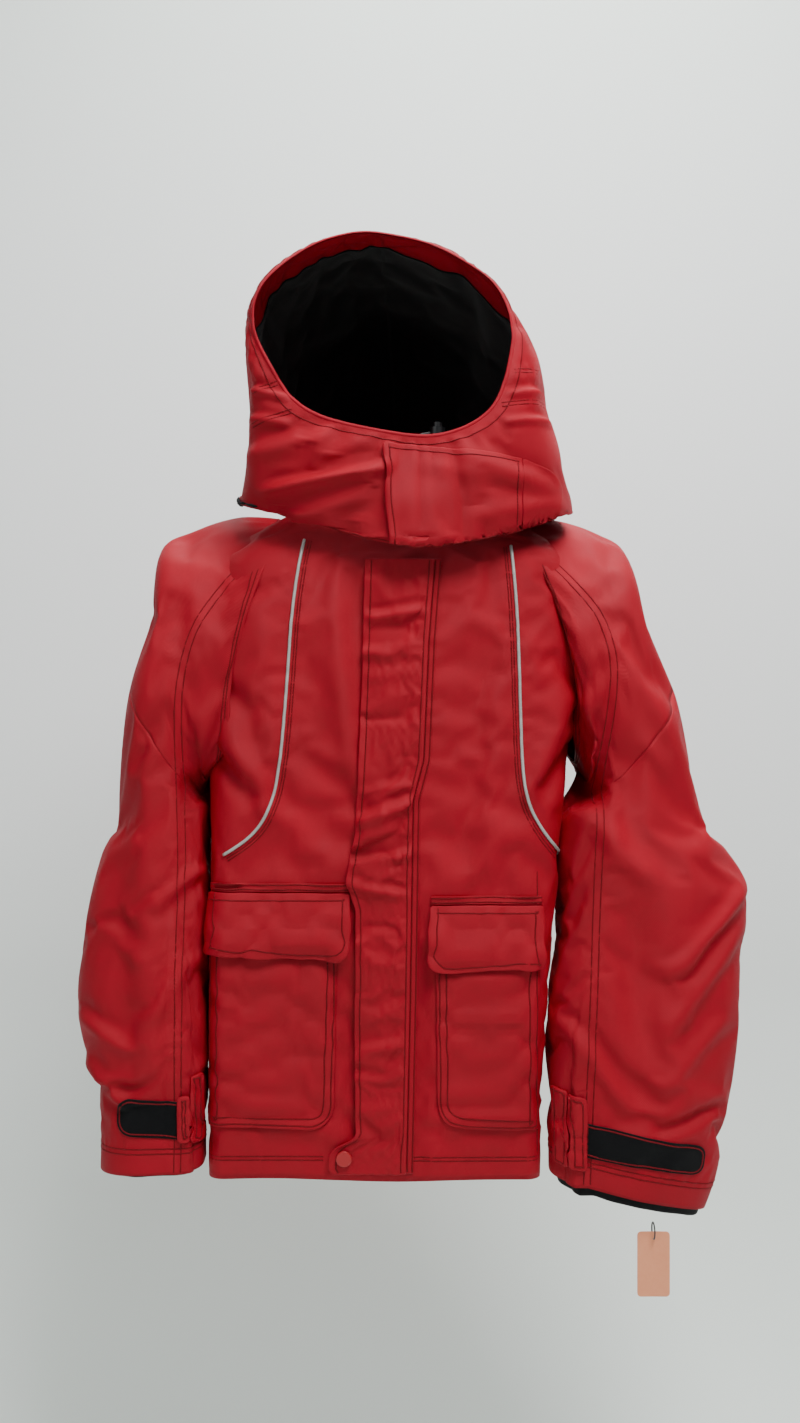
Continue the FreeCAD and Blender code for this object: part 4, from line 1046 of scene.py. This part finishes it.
def hood_hold(u, v, p):
    held = np.maximum(np.clip((0.05 - v) / 0.03, 0, 1), np.clip((v - 0.95) / 0.03, 0, 1))
    return np.maximum(held, 0.2)


for ends, width, depth in (((-122, -54, -10, -36), 6, 9), ((-140, -20, -60, -6), 9, 6), ((-110, -86, -30, -60), 8, 4),
                           ((-138, 40, -104, 30), 4, 4), ((-138, 14, -100, 6), 4, 4), ((108, 34, 148, 42), 4, 4),
                           ((104, 8, 150, 14), 4, 4), ((-128, 104, -112, 52), 8, 3), ((118, 96, 112, 46), 8, 3),
                           ((-70, -30, -16, -18), 6, -3), ((60, -24, 150, -52), 9, 4), ((70, -80, 158, -62), 8, 3)):
    hood = fold(hood, *ends, width, depth)
hood = buckle(hood, hood_hold, (140, 60), frames=16, grow=0.018, cap=0.005, weight=0.3)
place(cloth_object("hood_shell", hood, RED, 0.0012, 0), "hood", "red_shell", "hood_crown",
                   "hood_side_right", "hood_side_left", "chin_band")
facing = inner(hood, 0.0018, 0, 27)
place(cloth_object("hood_facing_band", facing, RED, 0.0008, 0), "hood", "red_shell", "hood_facing")
lining = inner(hood, 0.0034, 25, 97)
place(cloth_object("hood_lining_cloth", lining, FLEECE, LINING, 0), "hood", "black_lining", "hood_lining")
rim_turn = np.linspace(0, 1, 300)
hood_sewing = Sewing("hood")
rolled = Pile()
rim_places = hood.at(rim_turn, np.full(300, 0.0), -0.0009)
rim_normals = unit(hood.sample(hood.normals(), rim_turn, np.full(300, 0.0)))
sweep(rolled, rim_places, unit(np.gradient(rim_places, axis=0)), rim_normals,
      [(2.0 * math.cos(a), 1.5 * math.sin(a)) for a in np.linspace(0, 2 * math.pi, 9)[:-1]], closed=False)
place(rolled.object("hood_rim", RED), "hood", "red_shell")
for place_v in (0.035, 0.97):
    hood_sewing.on_grid(hood, np.linspace(0, 1, 600), place_v)
for x0, z0, x1, z1 in ((-137, 37, -112, 45), (-137, 6, -98, 18), (112, 56, 138, 60), (100, 24, 147, 30)):
    hood_sewing.row(hood, [(x0, z0), (x1, z1)], rows=(-1.8, 1.8))
for place_u in (0.052, 0.948):
    for shift in (-0.003, 0.003):
        hood_sewing.on_grid(hood, place_u + shift, np.linspace(0.03, 0.97, 260))
print("hood", hood.p.shape)

# %% [markdown]
# ## Chin flap
# The hood closes under the chin with a wide flap that laps over from one side. It is laid on the hood from its
# outline, a little off it at the free edge.

# %% Chin flap
chin_edge = outline([(-12, -13), (60, -20), (119, -26), (119, -108), (60, -112), (-5, -115), (-9, -60)],
                    [3, 40, 1, 1, 40, 3, 60])


def chin_hang(x, z):
    away = np.clip((0.119 - x) / 0.12, 0, 1)
    wave = ripple(np.stack([x, 0 * x, z * 1.5], -1), 0.08, 21)
    crease = np.exp(-((z + 0.040 + 0.12 * (x - 0.06)) / 0.009) ** 2) * np.clip((x - 0.01) / 0.03, 0, 1)
    return 1.2 + 1.6 * away + 0.9 * wave * away + 2.0 * crease


chin = patch(hood, chin_edge, 0.0, 1.6, "chin_flap_cloth", RED, rings=24, shape=chin_hang)
place(chin, "chin_flap", "red_shell", "chin_flap")
chin_sewing = Sewing("chin_flap")
edge_rows(chin_sewing, hood, chin_edge, (5.0,), lambda x, z: chin_hang(x, z) + 1.7)
for piece in chin_sewing.finish():
    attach(piece, "chin_flap")
root = patch(hood, outline([(119.6, -26), (150, -36), (160, -50), (158, -74), (136, -98), (119.6, -107)],
                           [1, 8, 4, 6, 20, 1]), 0.6, 1.6, "chin_flap_root", RED, rings=12)
place(root, "hood", "red_shell", "chin_flap_seam")
print("chin flap made")

# %% [markdown]
# ## Sleeves
# A raglan sleeve starts at a slanting seam from the neck to the armpit, runs over the shoulder and then hangs. Its
# grid goes through slanting rings that fan out over the shoulder, and level rings below. Each ring is known from its
# outer, front, inner and back points.

# %% Sleeve grids
def loop(outer, front, inside, back, count=48, soft=0.88, square=0.66):
    """A closed ring through four points, from the outer one round by the front: soft outside, square inside."""
    corners = [np.array(p, float) for p in (outer, front, inside, back)]
    centre = (corners[0] + corners[2]) / 2
    points = []
    for index in range(count):
        angle = 4 * index / count
        start, t = int(angle), (angle - int(angle)) * math.pi / 2
        a, b = corners[start], corners[(start + 1) % 4]
        power = square if start in (1, 2) else soft
        points.append(centre + (a - centre) * math.cos(t) ** power + (b - centre) * math.sin(t) ** power)
    return points


def level(z, outer, inside, front, back, slope=0.0):
    """A ring of a hanging sleeve, level or falling outwards."""
    middle = (outer + inside) / 2
    lean = (front + back) / 2
    fall = slope * abs(outer - inside)
    return loop((outer, lean, z - fall), (middle, front, z - fall / 2), (inside, lean, z), (middle, back, z - fall / 2))


def raglan(front_points, back_points, top, armpit):
    """The seam's ring: the shoulder's top, down the front, the armpit and up the back."""
    front = [(x, torso.on(np.array([x * MM]), np.array([z * MM]))[0, 1] / MM - 1.2, z) for x, z in front_points]
    points = np.array([top, *front, armpit, *back_points[::-1], top], float)
    run = np.concatenate([[0], np.cumsum(np.linalg.norm(np.diff(points, axis=0), axis=1))])
    half = len(front_points) + 1
    first = np.linspace(0, run[half], 25)[:-1]
    second = np.linspace(run[half], run[-1], 25)[:-1]
    return [[np.interp(place, run, points[:, axis]) for axis in range(3)] for place in (*first, *second)]


RIGHT = [raglan([(-113, -86), (-126, -125), (-141, -166), (-157, -224), (-163, -280), (-168, -308)],
                [(-113, 78, -80), (-141, 96, -166), (-157, 97, -224), (-168, 84, -300)],
                (-108, 8, -66), (-180, -12, -318)),
         loop((-158, -20, -68), (-176, -113, -225), (-188, -14, -323), (-176, 90, -205)),
         loop((-204, -38, -86), (-196, -113, -232), (-193, -20, -327), (-202, 80, -222)),
         loop((-235, -50, -105), (-213, -113, -244), (-194, -24, -330), (-224, 68, -236)),
         loop((-245, -55, -172), (-224, -112, -276), (-192, -28, -336), (-232, 60, -276)),
         loop((-264, -52, -258), (-232, -111, -314), (-189, -32, -345), (-236, 52, -318)),
         level(-362, -279, -187, -110, 38), level(-404, -292, -187, -115, 22), level(-470, -305, -186, -120, 2),
         level(-530, -314, -186, -125, -14), level(-590, -306, -186, -126, -28), level(-632, -293, -186, -126, -34),
         level(-672, -290, -186, -126, -37), level(-705, -289, -186, -126, -38, 0.03)]
LEFT = [raglan([(116, -88), (128, -110), (146, -142), (165, -190), (176, -240), (178, -300)],
               [(113, 78, -80), (143, 96, -150), (163, 95, -224), (176, 82, -300)], (108, 8, -66), (184, -12, -318)),
        loop((158, -20, -70), (180, -113, -225), (187, -14, -323), (178, 90, -205)),
        loop((202, -38, -88), (198, -113, -234), (188, -22, -328), (202, 80, -222)),
        loop((230, -50, -108), (214, -114, -248), (186, -28, -333), (224, 68, -236)),
        loop((246, -55, -174), (226, -115, -283), (182, -32, -340), (234, 58, -276)),
        loop((280, -54, -266), (236, -117, -322), (175, -38, -350), (240, 48, -318)),
        level(-366, 303, 166, -122, 30), level(-402, 326, 161, -128, 12), level(-438, 343, 159, -130, 0),
        level(-478, 341, 157, -131, -10, 0.03), level(-540, 334, 151, -134, -24, 0.08),
        level(-600, 327, 148, -136, -34, 0.13), level(-648, 316, 148, -136, -42, 0.18),
        level(-683, 306, 149, -136, -48, 0.22), level(-708, 297, 150, -136, -52, 0.24)]

SIDES = {
    "right": dict(rings=RIGHT, sign=-1, lap=(-186, -114, 8), peep=6,
                  seam=[(-118, -94), (-161, -135), (-196, -186), (-209, -240), (-210, -312), (-206, -400), (-207, -520),
                        (-208, -704)],
                  folds=(((-298, -598, -258, -640), 7, 5), ((-304, -556, -250, -588), 8, 4),
                         ((-190, -418, -232, -452), 8, 4),
                         ((-240, -300, -232, -610), 20, 4), ((-266, -400, -252, -640), 14, -3),
                         ((-214, -230, -216, -420), 9, 3), ((-288, -625, -240, -622), 5, -3),
                         ((-196, -500, -232, -560), 9, 3), ((-280, -470, -240, -505), 9, 3),
                         ((-170, -250, -205, -330), 9, 4), ((-205, -160, -222, -290), 12, -3)),
                  strip=[(-266, -633), (-203, -638), (-203, -674), (-266, -669)], strip_round=[16, 1, 1, 16],
                  tab=[(-207.6, -632), (-197.0, -631), (-197.0, -677), (-207.6, -676)],
                  root=[(-196.6, -614), (-187.5, -612), (-187.5, -680), (-196.6, -678)]),
    "left": dict(rings=LEFT, sign=1, lap=(150, -126, 12), peep=12,
                 seam=[(118, -94), (134, -104), (168, -136), (197, -171), (210, -215), (207, -262), (197, -325),
                       (192, -426), (186, -560), (180, -712)],
                 folds=(((338, -436, 262, -512), 9, 7), ((334, -474, 256, -566), 10, 5),
                        ((170, -350, 246, -428), 12, 4), ((158, -560, 222, -640), 9, 4),
                        ((250, -250, 304, -398), 16, 4), ((276, -400, 262, -690), 20, 3),
                        ((214, -240, 204, -420), 10, 3), ((312, -560, 250, -620), 9, 3),
                        ((306, -640, 246, -660), 7, -3), ((186, -250, 160, -352), 9, 4),
                        ((230, -160, 244, -290), 12, -3), ((226, -440, 232, -640), 14, -3)),
                 strip=[(178, -654), (295, -678), (290, -706), (178, -686)], strip_round=[1, 12, 12, 1],
                 tab=[(164.4, -628), (180, -631), (180, -699), (164.4, -697)],
                 root=[(150.5, -624), (163.4, -627), (163.4, -697), (151.5, -694)])}


def sleeve_hold(seam):
    def hold(u, v, p):
        held = np.maximum(np.clip((0.05 - v) / 0.04, 0, 1), np.clip((v - 0.93) / 0.04, 0, 1))
        return np.clip(np.maximum(np.maximum(held, near_line(p, seam, 9)), 0.2), 0, 1)
    return hold


SPLIT = 46
for side, facts in SIDES.items():
    grid = through(facts["rings"], 150, 170) * MM
    sleeve = Cloth(grid, closed=True)
    front = np.argmin(sleeve.p[:, 120, 1])
    sleeve.flip = bool(sleeve.normals()[front, 120, 1] > 0)
    inside = facts["sign"] * (sleeve.p[..., 0] - facts["lap"][0] * MM) < 0.03
    lap = np.clip((facts["lap"][1] * MM - sleeve.p[..., 1]) / 0.008, 0, 1) * inside
    lap *= np.clip((-0.36 - sleeve.p[..., 2]) / 0.06, 0, 1)
    sleeve.p[..., 0] -= facts["sign"] * facts["lap"][2] * MM * lap
    settled = np.clip((np.arange(170) / 169 - 0.06) / 0.1, 0, 1)[None]
    unevenness = ripple(sleeve.p * [1, 1, 0.6], 0.11, 30 + facts["sign"])
    sleeve.p += sleeve.normals() * (unevenness * 0.0028 * settled)[..., None]
    for ends, width, depth in facts["folds"]:
        sleeve = fold(sleeve, *ends, width, depth)
    sleeve = buckle(sleeve, sleeve_hold(facts["seam"]), (90, 100), frames=16, grow=0.016, cap=0.006, weight=0.3)
    body_name = f"sleeve_{side}"
    # The direction that leaves most room from the armhole to the lower piece is found, and the two planes across it at
    # the armhole and at the lower piece are kept.
    armhole, edge = sleeve.p[:, 0], sleeve.p[:, SPLIT]
    leans = np.radians(np.arange(-90, 91))
    ways = np.stack([facts["sign"] * np.cos(leans), 0 * leans, np.sin(leans)], -1)
    room = (edge @ ways.T).min(0) - (armhole @ ways.T).max(0)
    way = ways[room.argmax()]
    start, end = way * (armhole @ way).max(), way * (edge @ way).min()
    upper = cloth_object(f"shoulder_{side}", Cloth(sleeve.p[:, :SPLIT + 1], True, sleeve.flip), RED, SHELL, 0)
    lower = cloth_object(f"sleeve_{side}_cloth", Cloth(sleeve.p[:, SPLIT:], True, sleeve.flip), RED, SHELL, 0)
    place(lower, body_name, "red_shell", f"topsleeve_{side}", f"undersleeve_{side}")
    facts.update(upper=upper, start=start, end=end)
    lining = inner(sleeve, LINING_DEPTH, SPLIT, 166)
    place(cloth_object(f"sleeve_lining_{side}_cloth", lining, FLEECE, LINING, 0), body_name, "black_lining",
          f"sleeve_lining_{side}")
    last = sleeve.p[:, -10:-1]
    centre = last.mean(axis=0, keepdims=True)
    steps = np.linspace(0, 1, 14)
    cuff = np.stack([centre[:, 0] + (last[:, 0] - centre[:, 0]) * 0.90
                     + (last[:, -1] - last[:, 0]) * t + np.array([0, 0, -1]) * t * facts["peep"] * MM
                     for t in steps], 1)
    cuff[..., 2] += ripple(cuff, 0.03, 41) * 0.0006
    knit = cloth_object(f"inner_cuff_{side}_rib", Cloth(cuff, True, sleeve.flip), RIB, 0.0022, 1)
    place(knit, body_name, "cuff_rib", f"inner_cuff_{side}")
    sewing = Sewing(body_name)
    sewing.row(sleeve, facts["seam"], 0.3, rows=(-3.2, 3.2))
    turn = np.linspace(0, 1, 500)
    for rows_of, levels in ((sewing, (0.958, 0.966)), (body_sewing, (0.012, 0.022))):
        for place_v in levels:
            rows_of.on_grid(sleeve, turn, place_v)
    edge = outline(facts["strip"], facts["strip_round"])
    tape = patch(sleeve, edge, 0.1, 1.4, f"cuff_strip_{side}", LOOPS, rings=14)
    place(tape, body_name, "loop_tape", f"loop_strip_{side}")
    edge_rows(sewing, sleeve, edge, (2.5,), 1.6)
    root_edge = outline(facts["root"], 1)
    root = patch(sleeve, root_edge, 0.1, 3.0, f"cuff_tab_seam_{side}", RED, rings=10)
    place(root, body_name, "red_shell", f"cuff_tab_root_{side}")
    edge_rows(sewing, sleeve, root_edge, (2.5,), 3.2)
    for piece in sewing.finish():
        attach(piece, body_name)
    tab_edge = outline(facts["tab"], 3)
    tab = patch(sleeve, tab_edge, 2.0, 1.8, f"cuff_tab_{side}_cloth", RED, rings=14, crown=0.5)
    place(tab, f"cuff_tab_{side}", "red_shell", f"cuff_tab_{side}")
    (edge_x, edge_z), (next_x, next_z) = tab_edge.T, np.roll(tab_edge, -1, axis=0).T
    flat = 0.5 * abs(np.sum(edge_x * next_z - edge_z * next_x))
    low, high = tab_edge.min(axis=0) * MM, tab_edge.max(axis=0) * MM
    # The tab turns out of sight with the cuff; a row of points across its middle is found on the cloth.
    middle = sleeve.on(np.linspace(low[0], high[0], 24), np.full(24, (low[1] + high[1]) / 2), 0.002)
    tab_sewing = Sewing(f"cuff_tab_{side}")
    edge_rows(tab_sewing, sleeve, tab_edge, (4.0,), 4.4)
    for piece in tab_sewing.finish():
        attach(piece, f"cuff_tab_{side}")
    print("sleeve", side, sleeve.p.shape)

for piece in body_sewing.finish():
    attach(piece, "jacket")
for piece in hood_sewing.finish():
    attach(piece, "hood")
for side, facts in SIDES.items():
    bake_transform(facts["upper"])

# %% [markdown]
# ## Swing tag
# A blank card hangs on a string from the inner cuff. It is a thin sheet with rounded corners and a small curl.

# %% Tag
card_x, card_z = np.meshgrid(np.linspace(0.215, 0.275, 40), np.linspace(-0.84, -0.75, 50), indexing="ij")
card_y = -0.1222 + 0.0012 * np.cos((card_x - 0.245) * 60) - 0.0012
plane = Cloth(np.stack([card_x, card_y, card_z], -1))
if plane.normals()[20, 20, 1] > 0:
    plane.flip = True
tag_edge = outline([(229.5, -760.6), (260.5, -760.6), (260.5, -822.6), (229.5, -822.6)], [4, 4, 4, 4], 1.5)
tag = patch(plane, tag_edge, 0.0, 0.5, "tag_card", CARD, rings=12)
place(tag, "swing_tag", "tag_card", "swing_tag")

# %% [markdown]
# ## Zip, snap, toggle and eyelets
# These are hard parts with the right shape already, so each keeps its CAD solid and gets its own finish.

# %% Hard parts
FINISHES = {"zip_tapes": RED_TAPE, "zip_teeth": PLASTIC, "zip_stops": PLASTIC, "zip_slider": PLASTIC,
            "zip_puller": PLASTIC, "snap_cap": ENAMEL, "snap_socket": STEEL, "snap_stud": STEEL,
            "cord_lock_body": PLASTIC, "cord_lock_plunger": PLASTIC, "cord_lock_spring": STEEL,
            "hood_eyelets": STEEL, "tag_tie": CORD}
for name, material in FINISHES.items():
    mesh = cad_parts[name].data
    mesh.materials.clear()
    mesh.materials.append(material)
left_over = [name for name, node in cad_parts.items() if not node.hide_render and name not in FINISHES]
print("CAD nodes still to dress:", left_over)

# %% [markdown]
# ## Studio
# A pale sweep stands behind and under the jacket, with soft light from above and in front. Its colour is painted
# lighter at about the jacket's neck height and darker above and below: a painted pool of light.

# %% Floor, light
steps = [(-2.4, -1.16), (0.10, -1.16)] + [(0.10 + 0.5 * math.sin(a), -0.66 - 0.5 * math.cos(a))
                                          for a in np.linspace(0.05, math.pi / 2, 24)] + [(0.60, 1.9)]
verts = [(x, y, z) for y, z in steps for x in (-3.0, 3.0)]
faces = [(2 * i, 2 * i + 1, 2 * i + 3, 2 * i + 2) for i in range(len(steps) - 1)]
wall = Finish("studio_sweep", roughness=0.9)
height = wall.parts(wall.places("Object"))[2]
speck = wall.noise(wall.places("Object"), 3.0, 3.0)
# Painted light: the sweep's colour is brightest at about the jacket's neck height and darkens above and below it.
away = (height + 0.05) * 1.15
wall.set("Base Color", wall.mix((1.0 - away * away + speck * 0.1).clamp(), rgb(226, 234, 228),
                                rgb(250, 253, 252)))
backdrop = make_object("studio_sweep", verts, faces, np.zeros((len(verts), 2)), wall.material)

world = bpy.data.worlds.new("studio")
world.use_nodes = True
world.node_tree.nodes["Background"].inputs["Color"].default_value = (0.86, 0.90, 0.93, 1)
world.node_tree.nodes["Background"].inputs["Strength"].default_value = 0.25
bpy.context.scene.world = world
for name, place_at, aim, size, power in (("key", (0.55, -1.20, 1.50), (0, 0, -0.35), 0.9, 62),
                                         ("fill", (-1.3, -1.5, 0.1), (0, 0, -0.4), 1.4, 4),
                                         ("top", (0.2, 0.1, 1.5), (0, 0, -0.3), 1.0, 36)):
    light = bpy.data.lights.new(name, "AREA")
    light.size, light.energy = size, power
    lamp = bpy.data.objects.new(name, light)
    lamp.location = place_at
    gap = np.array(aim) - np.array(place_at)
    lamp.rotation_euler = (math.atan2(math.hypot(gap[0], gap[1]), -gap[2]), 0, math.atan2(gap[1], gap[0]) - math.pi / 2)
    bpy.context.scene.collection.objects.link(lamp)
